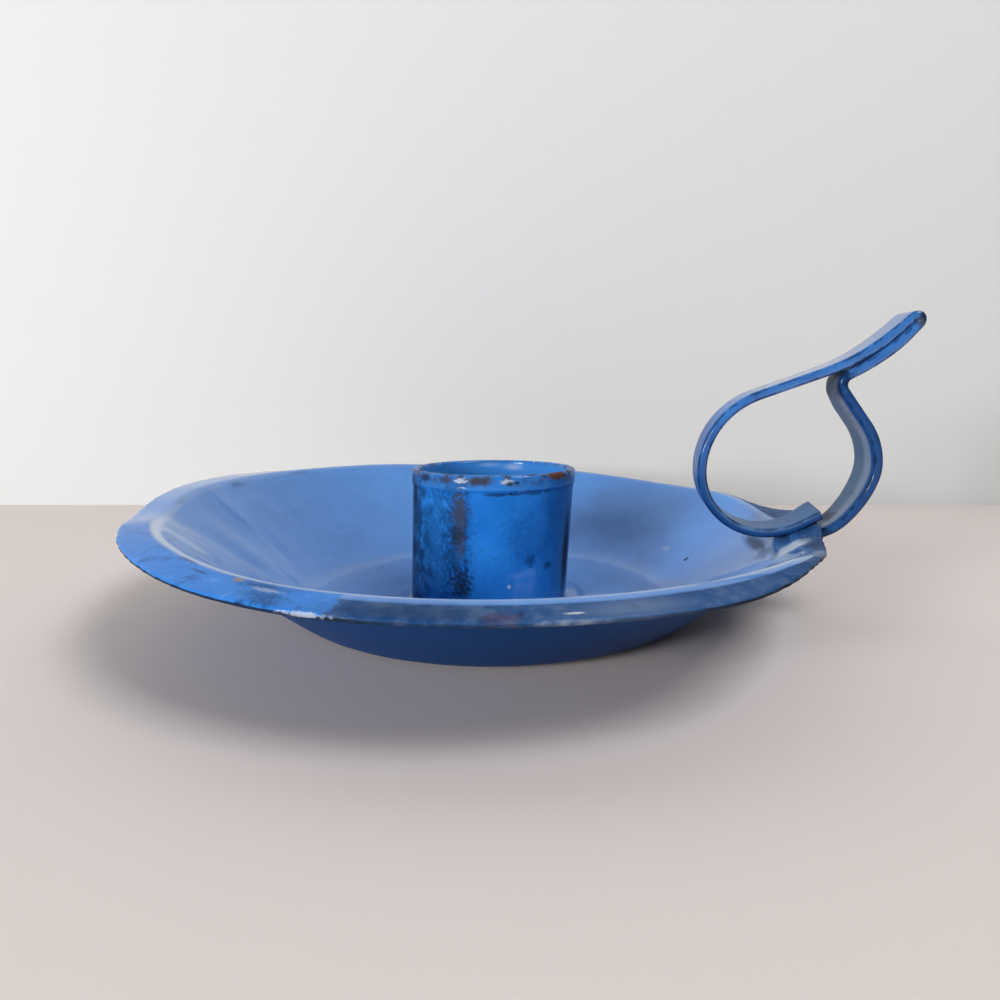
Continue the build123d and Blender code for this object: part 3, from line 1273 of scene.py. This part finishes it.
@dataclass(frozen=True)
class EnamelFinish:
    """Glassy blue enamel on iron, with its uneven tone, flecks and marks."""

    name: str
    blue: Colour
    deep: Colour
    pale: Colour
    roughness: float = 0.3
    coat: float = 1.0
    ripple: float = 0.05
    fine_ripple: float = 0.1
    bump: float = 0.7
    tone_grain: Span = (-0.22, 0.22)
    cloud_grain: Span = (0.02, 0.3)
    blemishes: tuple[Blemish, ...] = ()

    def ground(self, coat: Coat) -> None:
        """Lays the clean enamel.

        Args:
            coat: The coat to start.
        """
        graph = coat.graph
        broad, middle, fine = (coat.grain[g] for g in (Grain.BROAD, Grain.MIDDLE, Grain.FINE))
        coat.colour = graph.blend(graph.span(broad, *self.tone_grain), self.deep, self.blue)
        coat.tint(graph.span(middle, *self.cloud_grain), self.pale, strength=0.5)
        coat.roughness = self.roughness
        small = graph.times(fine, self.ripple * self.fine_ripple)
        coat.height = graph.math("MULTIPLY_ADD", middle, self.ripple, small)

    def wear(self, coat: Coat) -> None:
        """Lays the wear that runs over the whole piece.

        Args:
            coat: The coat to wear.
        """

    def material(self, effects: Effects) -> bpy.types.Material:
        """Makes the finish.

        Args:
            effects: The shared groups.

        Returns:
            The material.
        """
        coat = Coat(self.name, effects)
        self.ground(coat)
        self.wear(coat)
        for mark in self.blemishes:
            coat.blemish(mark)
        return coat.finish(self.coat, self.bump)


@dataclass(frozen=True)
class DishFinish(EnamelFinish):
    """Finish of the dish, whose turned rim is duller, with a fresher stretch on one side and a worn edge."""

    rim_dull: Colour = (0.018, 0.062, 0.18, 1.0)
    rim_mottle: Colour = (0.085, 0.145, 0.27, 1.0)
    rim_fresh: Colour = (0.03, 0.19, 0.6, 1.0)
    # Painted shade: the underside is coloured darker to stand in for the shade under the dish.
    under: Colour = (0.003, 0.04, 0.165, 1.0)
    # Painted highlight: pale line along the crest of the rim on the near side.
    painted_crest_highlight: Colour = (0.34, 0.46, 0.62, 1.0)
    fresh_deep: Colour = (0.012, 0.1, 0.36, 1.0)
    fresh_pale: Colour = (0.09, 0.31, 0.72, 1.0)
    worn_end: float = 145.0
    fresh_start: float = 203.0
    fresh_end: float = 261.5
    calm_end: float = 300.0
    border_rough: float = 0.1
    border_soft: float = 0.008
    worn_soft: float = 0.1
    fresh_soft: float = 0.15
    calm_soft: float = 0.2
    under_side: Span = (0.2, -0.2)
    top_side: Span = (0.0, 0.3)
    nose_side: Span = (0.4, -0.1)
    nose_reach: Span = (0.05, 0.2)
    rim_edge: Span = (0.0, 0.12)
    crest_start: Span = (7.1, 7.4)
    crest_end: Span = (7.9, 7.6)
    crest_near: Span = (-0.1, 0.3)
    fresh_run: Span = (7.6, 7.95)
    mottle_grain: Span = (-0.08, 0.22)
    low_grain: Span = (-0.06, -0.24)
    deep_grain: Span = (0.02, 0.2)
    fine_grain: Span = (-0.1, -0.26)

    def wear(self, coat: Coat) -> None:
        """Lays the painted shade of the underside, a painted highlight along the near crest, the rim's two tones and
        its worn edge.

        Args:
            coat: The coat to wear.
        """
        graph = coat.graph
        x, y, _ = graph.split(coat.position)
        run, edge, side, beyond = (coat.attribute(m) for m in (Mark.RUN, Mark.EDGE, Mark.SIDE, Mark.BEYOND))
        middle, fine = coat.grain[Grain.MIDDLE], coat.grain[Grain.FINE]
        # Painted shade on the underside: it is tinted darker, and it also loses its gloss.
        underside_shade = graph.span(side, *self.under_side)
        coat.tint(underside_shade, self.under, strength=0.95)
        coat.dull(underside_shade, roughness=0.4, strength=1.0)

        azimuth = graph.math("ARCTAN2", graph.times(y, -1.0), graph.times(x, -1.0))
        ragged = graph.math("MULTIPLY_ADD", middle, self.border_rough, azimuth)
        borders = (self.worn_end, self.fresh_start, self.fresh_end, self.calm_end)
        far, start, end, calm = (math.radians(border - 180.0) for border in borders)
        before = graph.span(ragged, end + self.border_soft, end - self.border_soft)
        clear = graph.times(graph.span(ragged, far - self.worn_soft, far + self.worn_soft), before)
        fresh = graph.times(graph.span(ragged, start - self.fresh_soft, start + self.fresh_soft), before)
        worn = graph.times(graph.span(edge, *self.rim_edge), graph.math("SUBTRACT", 1.0, clear))
        coat.tint(worn, self.rim_dull, strength=0.9)
        coat.tint(graph.times(worn, graph.span(middle, *self.mottle_grain)), self.rim_mottle, strength=0.7)
        coat.lay(graph.times(worn, graph.span(middle, *self.low_grain)), WearAndPaintedLight.DARK, strength=0.5)
        coat.dull(worn, roughness=0.45, strength=0.95)

        # Painted highlight along the near crest, where the bend catches the light.
        crest_highlight = graph.times(graph.span(run, *self.crest_start), graph.span(run, *self.crest_end))
        crest_highlight = graph.times(crest_highlight, graph.span(ragged, *self.crest_near), graph.span(side, *self.top_side))
        coat.tint(crest_highlight, self.painted_crest_highlight, strength=0.4)
        kept = graph.times(graph.span(run, *self.fresh_run), fresh)
        coat.tint(kept, self.rim_fresh, strength=0.9)
        coat.tint(graph.times(kept, graph.span(middle, *self.deep_grain)), self.fresh_deep, strength=0.7)
        coat.tint(graph.times(kept, graph.span(middle, *self.low_grain)), self.fresh_pale, strength=0.6)
        coat.dull(kept, roughness=0.35, strength=0.8)
        coat.tint(graph.times(worn, graph.span(fine, *self.fine_grain)), self.rim_mottle, strength=0.6)
        coat.flecks(0.1, WearAndPaintedLight.DARK, strength=0.6, where=worn)
        coat.flecks(0.22, WearAndPaintedLight.DARK, strength=0.5, where=kept)

        nose = graph.times(graph.span(beyond, *self.nose_reach), graph.span(side, *self.nose_side))
        line = graph.use(coat.effects.worn_edge, Edge=nose, Rough=graph.times(middle, 1.2), Reach=0.55)
        kinder = graph.times(
            graph.span(ragged, end, end + self.fresh_soft),
            graph.span(ragged, calm + self.calm_soft, calm - self.calm_soft),
        )
        coat.lay(graph.times(line, graph.math("MULTIPLY_ADD", kinder, -0.5, 1.0)), WearAndPaintedLight.IRON_AND_SHADE, strength=0.9)


@dataclass(frozen=True)
class SocketFinish(EnamelFinish):
    """Finish of the socket, with flecks all over, a battered lip and painted light that makes the inside brighter."""

    # Painted light: brighter colour for the inside of the socket.
    inside: Colour = (0.045, 0.23, 0.62, 1.0)
    bare_grain: Span = (-0.03, 0.09)
    grey_grain: Span = (0.04, 0.16)
    chip_grain: Span = (-0.12, -0.22)
    near_y: Span = (10.0, 0.0)

    def wear(self, coat: Coat) -> None:
        """Lays the painted light inside, the flecks and the lip's wear.

        Args:
            coat: The coat to wear.
        """
        graph = coat.graph
        edge, side = coat.attribute(Mark.EDGE), coat.attribute(Mark.SIDE)
        # Painted light: the inside, away from the lip, is tinted brighter.
        inner = graph.math("SUBTRACT", graph.math("SUBTRACT", 1.0, side), edge, clamp=True)
        coat.tint(inner, self.inside)
        coat.flecks(0.24, WearAndPaintedLight.DARK, strength=0.5, where=side)
        fine = coat.grain[Grain.FINE]
        bare = graph.times(edge, graph.span(coat.grain[Grain.MIDDLE], *self.bare_grain))
        _, y, _ = graph.split(coat.position)
        near = graph.math("MULTIPLY_ADD", graph.span(y, *self.near_y), 0.6, 0.4)
        coat.lay(graph.times(bare, near), WearAndPaintedLight.GRIME, strength=0.85)
        coat.lay(graph.times(edge, graph.span(fine, *self.grey_grain)), WearAndPaintedLight.GREY, strength=0.6)
        coat.lay(graph.times(edge, graph.span(fine, *self.chip_grain)), WearAndPaintedLight.PALE, strength=0.6)


@dataclass(frozen=True)
class StrapFinish(EnamelFinish):
    """Finish of the handle, worn dark along the strap's edges, and darker with painted shade and duller low down and in
    front.
    """

    shade: Colour = (0.009, 0.045, 0.155, 1.0)
    speck: Colour = (0.09, 0.2, 0.42, 1.0)
    front_inside: Colour = (0.075, 0.13, 0.205, 1.0)
    # Painted highlight: pale stripe inside the front of the loop, near its near edge.
    painted_front_highlight: Colour = (0.22, 0.28, 0.38, 1.0)
    foot_inside: Colour = (0.085, 0.17, 0.33, 1.0)
    low_run: Span = (3.8, 2.4)
    dull_run: Span = (4.3, 3.4)
    front_run: Span = (7.9, 8.7)
    throat_start: Span = (7.75, 8.1)
    throat_end: Span = (9.3, 8.9)
    inner_side: Span = (0.0, -0.6)
    past_near_edge: Span = (-0.8, -0.6)
    highlight_across: Span = (0.1, -0.35)
    speck_grain: Span = (-0.1, -0.24)
    dark_grain: Span = (0.05, 0.25)
    throat_grain: Span = (-0.2, 0.0)

    def wear(self, coat: Coat) -> None:
        """Lays the flecks, the dark lines along the edges, the painted shade and the dull stretches, a painted
        highlight inside the front and painted shade in the throat.

        Args:
            coat: The coat to wear.
        """
        graph = coat.graph
        middle, fine = coat.grain[Grain.MIDDLE], coat.grain[Grain.FINE]
        run, side, across, edge = (coat.attribute(m) for m in (Mark.RUN, Mark.SIDE, Mark.BEYOND, Mark.EDGE))
        inside = graph.span(side, *self.inner_side)
        # Painted shade: the loop is tinted darker low down and in front.
        low, front = graph.span(run, *self.low_run), graph.span(run, *self.front_run)
        both = graph.math("MAXIMUM", low, front)
        coat.tint(both, self.shade, strength=0.85)
        coat.tint(graph.times(both, graph.span(fine, *self.speck_grain)), self.speck, strength=0.5)
        dull = graph.math("MAXIMUM", graph.span(run, *self.dull_run), front)
        coat.dull(dull, roughness=0.35, strength=0.8)
        clear = graph.times(front, inside, graph.span(across, *self.past_near_edge))
        coat.tint(clear, self.front_inside, strength=0.9)
        # Painted highlight stripe beside the near edge inside the front.
        coat.tint(graph.times(clear, graph.span(across, *self.highlight_across)), self.painted_front_highlight, strength=0.7)
        foot = graph.times(low, inside)
        coat.tint(foot, self.foot_inside, strength=0.85)
        coat.dull(foot, roughness=0.35, strength=0.75)
        coat.lay(graph.span(middle, *self.dark_grain), WearAndPaintedLight.DARK, strength=0.5)
        coat.flecks(0.16, WearAndPaintedLight.DARK, strength=0.6)
        line = graph.use(coat.effects.worn_edge, Edge=edge, Rough=graph.times(middle, 2.2), Reach=0.2)
        coat.lay(line, WearAndPaintedLight.DARK, strength=0.6)
        # Painted shade: the throat of the fold is darkened.
        throat = graph.times(graph.span(run, *self.throat_start), graph.span(run, *self.throat_end))
        coat.lay(graph.times(throat, graph.span(middle, *self.throat_grain)), WearAndPaintedLight.DARK, strength=0.85)


@dataclass
class Studio:
    """Floor, wall behind, soft lights and the camera."""

    wall_distance: float = 226.0
    camera_place: Point = (18.76, -130.35, 41.26)
    camera_pitch: float = 9.97
    camera_yaw: float = 7.627
    lens: float = 27.0
    sensor: float = 36.0
    clip_start: float = 0.01
    floor_half: Span = (1500.0, 1500.0)
    wall_half: Span = (1200.0, 900.0)
    floor_colour: Colour = (0.74, 0.665, 0.64, 1.0)
    wall_colour: Colour = (0.68, 0.695, 0.69, 1.0)
    stage_roughness: float = 0.75
    stage_shine: float = 0.2
    sky_colour: Colour = (0.9, 0.95, 1.0, 1.0)
    sky_strength: float = 0.05

    def plane(self, name: str, matrix: Matrix, size: Span, colour: Colour) -> bpy.types.Object:
        """Makes a flat part of the stage.

        Args:
            name: Its name.
            matrix: Where it lies.
            size: Its half sizes.
            colour: Its colour.

        Returns:
            Its object.
        """
        bm = bmesh.new()
        bmesh.ops.create_grid(bm, x_segments=1, y_segments=1, size=1.0)
        bmesh.ops.scale(bm, vec=(*size, 1.0), verts=bm.verts)
        bmesh.ops.transform(bm, matrix=matrix, verts=bm.verts)
        bmesh.ops.scale(bm, vec=(MM, MM, MM), verts=bm.verts)
        mesh = bpy.data.meshes.new(name)
        bm.to_mesh(mesh)
        bm.free()
        material = bpy.data.materials.new(name)
        material.use_nodes = True
        shader = material.node_tree.nodes["Principled BSDF"]
        shader.inputs["Base Color"].default_value = colour
        shader.inputs["Roughness"].default_value = self.stage_roughness
        shader.inputs["Specular IOR Level"].default_value = self.stage_shine
        mesh.materials.append(material)
        made = bpy.data.objects.new(name, mesh)
        bpy.context.scene.collection.objects.link(made)
        return made

    def one_sided(self, wall: bpy.types.Object) -> None:
        """Lets the camera see through the wall from behind."""
        tree = wall.data.materials[0].node_tree
        shader, output = tree.nodes["Principled BSDF"], tree.nodes["Material Output"]
        face, path = tree.nodes.new("ShaderNodeNewGeometry"), tree.nodes.new("ShaderNodeLightPath")
        both = tree.nodes.new("ShaderNodeMath")
        both.operation = "MULTIPLY"
        clear, blend = tree.nodes.new("ShaderNodeBsdfTransparent"), tree.nodes.new("ShaderNodeMixShader")
        tree.links.new(face.outputs["Backfacing"], both.inputs[0])
        tree.links.new(path.outputs["Is Camera Ray"], both.inputs[1])
        tree.links.new(both.outputs[0], blend.inputs[0])
        tree.links.new(shader.outputs[0], blend.inputs[1])
        tree.links.new(clear.outputs[0], blend.inputs[2])
        tree.links.new(blend.outputs[0], output.inputs["Surface"])

    def lamp(self, name: str, place: Point, aim: Point, size: float, power: float) -> None:
        """Hangs a soft lamp.

        Args:
            name: Its name.
            place: Where it hangs, in millimetres.
            aim: The point that it faces.
            size: Its side.
            power: Its power in watts.
        """
        light = bpy.data.lights.new(name, "AREA")
        light.size = size * MM
        light.energy = power
        made = bpy.data.objects.new(name, light)
        made.location = Vector(place) * MM
        made.rotation_euler = (Vector(place) - Vector(aim)).to_track_quat("Z", "Y").to_euler()
        bpy.context.scene.collection.objects.link(made)

    def build(self) -> None:
        """Sets the stage."""
        scene = bpy.context.scene
        scene.view_settings.view_transform = "Standard"
        data = bpy.data.cameras.new("camera")
        data.lens = self.lens
        data.sensor_width = self.sensor
        data.clip_start = self.clip_start
        camera = bpy.data.objects.new("camera", data)
        camera.location = Vector(self.camera_place) * MM
        camera.rotation_euler = (math.radians(90 - self.camera_pitch), 0.0, math.radians(self.camera_yaw))
        scene.collection.objects.link(camera)
        scene.camera = camera

        look = Matrix.Rotation(math.radians(self.camera_yaw), 4, "Z")
        foot = Vector((*self.camera_place[:2], 0.0))
        behind = foot + look @ Vector((0.0, self.wall_distance, 0.0))
        self.plane("stage_floor", Matrix.Identity(4), self.floor_half, self.floor_colour)
        stand = Matrix.Translation(behind) @ look @ Matrix.Rotation(math.radians(90), 4, "X")
        wall = self.plane("stage_wall", stand, self.wall_half, self.wall_colour)
        self.one_sided(wall)

        world = bpy.data.worlds.new("studio")
        world.use_nodes = True
        sky = world.node_tree.nodes["Background"]
        sky.inputs["Color"].default_value = self.sky_colour
        sky.inputs["Strength"].default_value = self.sky_strength
        scene.world = world
        self.lamp("overhead", place=(364.0, -170.0, 593.0), aim=(0.0, 0.0, 0.0), size=300.0, power=2.4)
        self.lamp("window", place=(-391.0, -559.0, 165.0), aim=(0.0, 0.0, 20.0), size=180.0, power=4.3)


DISH_MARKS = (
    Blemish(WearAndPaintedLight.DARK, 38.5, 22.4, 4.94, (0.7, 0.45, 0.6), 0.4, 0.85),
    Blemish(WearAndPaintedLight.PALE, 39.1, 34.1, 5.3, (0.7, 0.9, 0.8), 0.5, 0.4, soft=0.6),
    Blemish(WearAndPaintedLight.SMEAR, 53.7, 170.0, 18.7, (0.9, 1.8, 0.9), 1.2, 0.5, soft=0.8),
    Blemish(WearAndPaintedLight.SMEAR, 54.6, 189.8, 19.0, (0.8, 2.4, 0.9), 1.6, 0.55, soft=0.8),
    Blemish(WearAndPaintedLight.SMEAR, 54.2, 150.0, 18.6, (0.6, 2.2, 0.9), 1.4, 0.4, soft=0.8),
    Blemish(WearAndPaintedLight.DARK, 56.3, 250.6, 17.1, (0.8, 3.2, 1.2), 2.4, 0.55, soft=0.7),
    Blemish(WearAndPaintedLight.DARK, 58.1, 252.5, 16.5, (0.8, 3.0, 1.0), 2.4, 0.5, soft=0.7),
    Blemish(WearAndPaintedLight.DARK, 59.3, 253.5, 16.1, (0.5, 2.2, 0.8), 2.2, 0.6, soft=0.6),
    # Painted shadow: soft dark patch where the socket's shadow falls on the far-right wall.
    Blemish(WearAndPaintedLight.DARK, 41.5, 57.0, 6.5, (6.0, 9.5, 4.0), 0.6, 0.35, Grain.BROAD, 0.8),
    # Painted reflection: pale sheen on the left inner wall.
    Blemish(WearAndPaintedLight.PALE, 50.5, 212.5, 14.8, (3.6, 7.5, 3.2), 0.8, 0.25, Grain.MIDDLE, 0.8),
    # Painted shade: darker ring on the dish floor round the socket's foot.
    Blemish(WearAndPaintedLight.DARK, 0.0, 0.0, 0.85, (18.5, 18.5, 2.5), 0.5, 0.3, Grain.BROAD, 0.3),
    Blemish(WearAndPaintedLight.OCHRE, 56.1, 246.7, 17.3, (0.45, 0.85, 1.0), 1.2, 0.75, soft=0.5),
    Blemish(WearAndPaintedLight.PALE, 56.9, 251.8, 17.0, (0.3, 1.9, 1.0), 3.6, 0.4, soft=0.5),
    Blemish(WearAndPaintedLight.DARK, 55.6, 235.5, 17.6, (0.25, 1.8, 1.0), 2.4, 0.55, soft=0.5),
    Blemish(WearAndPaintedLight.DARK, 56.7, 240.0, 17.4, (0.25, 1.4, 1.0), 2.4, 0.55, soft=0.5),
    Blemish(WearAndPaintedLight.DARK, 58.3, 270.0, 16.6, (2.0, 9.0, 1.6), 1.2, 0.5, Grain.MIDDLE, 0.8),
    Blemish(WearAndPaintedLight.PALE, 59.8, 258.9, 15.95, (0.4, 2.6, 0.28), 2.6, 0.65, soft=0.4),
    Blemish(WearAndPaintedLight.RUST, 59.1, 279.0, 16.3, (0.9, 1.9, 0.8), 3.0, 0.3, soft=0.5),
    Blemish(WearAndPaintedLight.PALE, 59.75, 286.0, 15.9, (0.25, 3.2, 0.3), 1.4, 0.3, soft=0.6),
    Blemish(WearAndPaintedLight.PALE, 58.3, 293.0, 16.4, (1.4, 5.0, 1.4), 2.4, 0.14, Grain.MIDDLE, 0.8),
    # Painted highlight: small glint on the front of the rim.
    Blemish(WearAndPaintedLight.PALE, 58.7, 286.4, 16.5, (0.22, 1.1, 0.6), 0.8, 0.75, soft=0.4),
    Blemish(WearAndPaintedLight.PALE, 55.0, 332.0, 16.6, (1.0, 5.0, 1.2), 3.0, 0.3, soft=0.5),
    Blemish(WearAndPaintedLight.DARK, 49.8, 356.0, 13.6, (1.6, 4.6, 1.6), 2.0, 0.7, soft=0.7),
    Blemish(WearAndPaintedLight.DARK, 53.2, 343.0, 15.3, (1.7, 4.2, 1.2), 2.0, 0.55, soft=0.7),
    # Painted highlight: glare on the ear under the handle.
    Blemish(WearAndPaintedLight.PALE, 49.8, 347.3, 13.4, (2.9, 2.9, 2.3), 1.8, 1.0, Grain.MIDDLE, 0.5),
    # Painted shade under the strap's lower end as a dark streak, with a real brown grime stain in it.
    Blemish(WearAndPaintedLight.IRON_AND_SHADE, 46.3, 4.4, 11.0, (1.2, 5.6, 1.1), 2.0, 0.75, soft=0.6),
    Blemish(WearAndPaintedLight.RUST, 46.2, 4.0, 11.0, (0.7, 4.0, 0.8), 2.4, 0.15, soft=0.5),
    Blemish(WearAndPaintedLight.DARK, 46.4, 354.5, 11.0, (1.6, 2.4, 1.6), 4.6, 0.5, soft=0.6),
    Blemish(WearAndPaintedLight.DARK, 47.6, 350.0, 12.0, (0.7, 3.0, 0.9), 3.6, 0.6, soft=0.5),
)
SOCKET_MARKS = (
    # Painted shade: the socket's right side is made darker.
    Blemish(WearAndPaintedLight.DARK, 13.9, 345.0, 12.0, (3.0, 6.5, 16.0), 0.6, 0.6, Grain.BROAD, 0.85),
    Blemish(WearAndPaintedLight.DARK, 13.9, 206.0, 12.0, (2.5, 4.4, 13.0), 3.0, 0.8, Grain.MIDDLE, 0.7),
    Blemish(WearAndPaintedLight.DARK, 14.0, 236.0, 13.0, (2.5, 4.4, 9.0), 4.0, 0.4, Grain.MIDDLE, 0.8),
    Blemish(WearAndPaintedLight.DARK, 14.0, 234.0, 10.0, (2.5, 4.4, 8.0), 5.0, 0.3, soft=0.6),
    Blemish(WearAndPaintedLight.IRON_AND_SHADE, 13.9, 207.0, 10.6, (2.0, 1.4, 1.6), 2.4, 0.6, soft=0.6),
    Blemish(WearAndPaintedLight.IRON_AND_SHADE, 13.9, 210.0, 15.6, (2.0, 1.2, 1.3), 2.4, 0.6, soft=0.6),
    Blemish(WearAndPaintedLight.DARK, 14.0, 254.0, 13.0, (2.0, 2.2, 10.0), 3.4, 0.55, soft=0.8),
    Blemish(WearAndPaintedLight.GRIME, 14.0, 256.4, 18.4, (2.0, 1.2, 3.4), 2.6, 0.8, soft=0.6),
    Blemish(WearAndPaintedLight.GRIME, 14.0, 257.0, 13.0, (2.0, 0.7, 2.2), 3.0, 0.6, soft=0.6),
    Blemish(WearAndPaintedLight.IRON_AND_SHADE, 14.0, 254.0, 14.6, (2.0, 1.0, 1.6), 3.0, 0.6, soft=0.6),
    Blemish(WearAndPaintedLight.IRON_AND_SHADE, 14.0, 257.0, 6.4, (2.0, 1.5, 2.4), 2.8, 0.75, soft=0.6),
    Blemish(WearAndPaintedLight.IRON_AND_SHADE, 14.2, 209.0, 20.0, (2.0, 1.3, 3.0), 1.8, 0.8, soft=0.6),
    # Painted shade: near-black streak along the socket's right edge.
    Blemish(WearAndPaintedLight.IRON_AND_SHADE, 13.8, 345.0, 9.5, (2.0, 1.4, 7.0), 0.8, 0.95, soft=0.6),
    Blemish(WearAndPaintedLight.DARK, 13.8, 304.4, 10.2, (2.0, 0.8, 1.0), 2.0, 0.65, soft=0.8),
    Blemish(WearAndPaintedLight.DARK, 13.8, 320.0, 8.9, (2.0, 0.8, 0.6), 2.0, 0.65, soft=0.8),
    Blemish(WearAndPaintedLight.DARK, 14.0, 300.0, 14.0, (2.0, 3.0, 3.4), 4.0, 0.3, soft=0.8),
    Blemish(WearAndPaintedLight.IRON_AND_SHADE, 14.2, 282.0, 21.4, (2.0, 2.2, 0.3), 2.6, 0.7, soft=0.5),
    Blemish(WearAndPaintedLight.IRON_AND_SHADE, 14.2, 305.0, 21.5, (2.0, 3.4, 0.3), 4.0, 0.55, soft=0.5),
    Blemish(WearAndPaintedLight.GRIME, 14.2, 269.5, 23.55, (1.2, 2.1, 0.7), 1.6, 0.9, soft=0.5),
    Blemish(WearAndPaintedLight.GRIME, 14.2, 246.0, 23.5, (1.2, 1.2, 0.6), 1.6, 0.8, soft=0.5),
    Blemish(WearAndPaintedLight.IRON_AND_SHADE, 14.2, 226.0, 23.5, (1.2, 1.5, 0.7), 1.8, 0.7, soft=0.5),
    Blemish(WearAndPaintedLight.PALE, 14.2, 257.0, 23.5, (1.2, 1.1, 0.3), 4.0, 0.85, soft=0.5),
    Blemish(WearAndPaintedLight.PALE, 14.2, 287.0, 23.5, (1.2, 0.9, 0.35), 3.4, 0.95, soft=0.5),
    Blemish(WearAndPaintedLight.IRON_AND_SHADE, 14.2, 289.0, 23.2, (1.2, 0.6, 0.25), 3.0, 0.85, soft=0.5),
    Blemish(WearAndPaintedLight.IRON_AND_SHADE, 14.2, 294.0, 23.3, (1.2, 0.3, 0.25), 2.0, 0.85, soft=0.5),
    Blemish(WearAndPaintedLight.PALE, 13.8, 289.2, 6.1, (1.0, 0.3, 0.3), 0.3, 0.8, soft=0.5),
    # Painted highlights: two pale reflections on the far wall inside the bore.
    Blemish(WearAndPaintedLight.PALE, 12.8, 80.5, 22.4, (1.0, 1.5, 0.5), 0.8, 0.45, soft=0.8),
    Blemish(WearAndPaintedLight.PALE, 12.8, 101.0, 22.8, (1.0, 1.7, 0.35), 0.8, 0.25, soft=0.8),
    Blemish(WearAndPaintedLight.RUST, 13.9, 325.0, 24.0, (1.6, 2.1, 0.8), 1.6, 0.95),
)
STRAP_MARKS = (
    Blemish(WearAndPaintedLight.IRON_AND_SHADE, 68.6, 0.0, 49.0, (1.6, 8.0, 1.9), 1.4, 0.9, soft=0.4),
    Blemish(WearAndPaintedLight.GREY, 67.6, 0.0, 48.3, (0.7, 8.0, 0.6), 2.4, 0.3, soft=0.4),
)


def main() -> None:
    """Sets the stage and builds the finishes and the pieces in order."""
    logging.basicConfig(level=logging.INFO, format="%(name)s: %(message)s")
    Studio().build()
    effects = Effects()
    dish, socket = Dish(), Socket()
    strap = Strap(dish)
    dish_finish = DishFinish(
        "enamel_dish", blue=(0.055, 0.24, 0.64, 1.0), deep=(0.045, 0.205, 0.57, 1.0), pale=(0.07, 0.265, 0.67, 1.0),
        blemishes=DISH_MARKS,
    ).material(effects)
    socket_finish = SocketFinish(
        "enamel_socket", blue=(0.024, 0.22, 0.66, 1.0), deep=(0.013, 0.165, 0.55, 1.0), pale=(0.04, 0.265, 0.75, 1.0),
        coat=0.5, blemishes=SOCKET_MARKS,
    ).material(effects)
    strap_finish = StrapFinish(
        "enamel_strap", blue=(0.05, 0.19, 0.52, 1.0), deep=(0.032, 0.13, 0.4, 1.0), pale=(0.1, 0.26, 0.6, 1.0),
        blemishes=STRAP_MARKS,
    ).material(effects)
    dish.build(dish_finish)
    socket.build(socket_finish)
    strap.build(strap_finish)
    Rivet(
        "centre_rivet_enamel", "centre_rivet", Slot.SOCKET, shank_radius=2.0, grip=2.0, head=(4.4, 0.5),
        tail=(3.6, 0.45), place=Matrix.Translation((0.0, 0.0, socket.foot_height + socket.sheet)),
    ).build(socket_finish)
    spot = dish.seat_point(dish.seat_inner + strap.rivet_setback, dish.sheet / 2 + strap.sheet)
    tilt = Matrix.Rotation(math.radians(-dish.seat_slope), 4, "Y")
    Rivet(
        "handle_rivet_enamel", "handle_rivet", Slot.STRAP, shank_radius=1.4, grip=3.95, head=(2.4, 0.18),
        tail=(2.4, 0.55), place=Matrix.Translation((spot.x, 0.0, spot.y)) @ tilt,
    ).build(strap_finish)


if __name__ == "__main__":
    main()
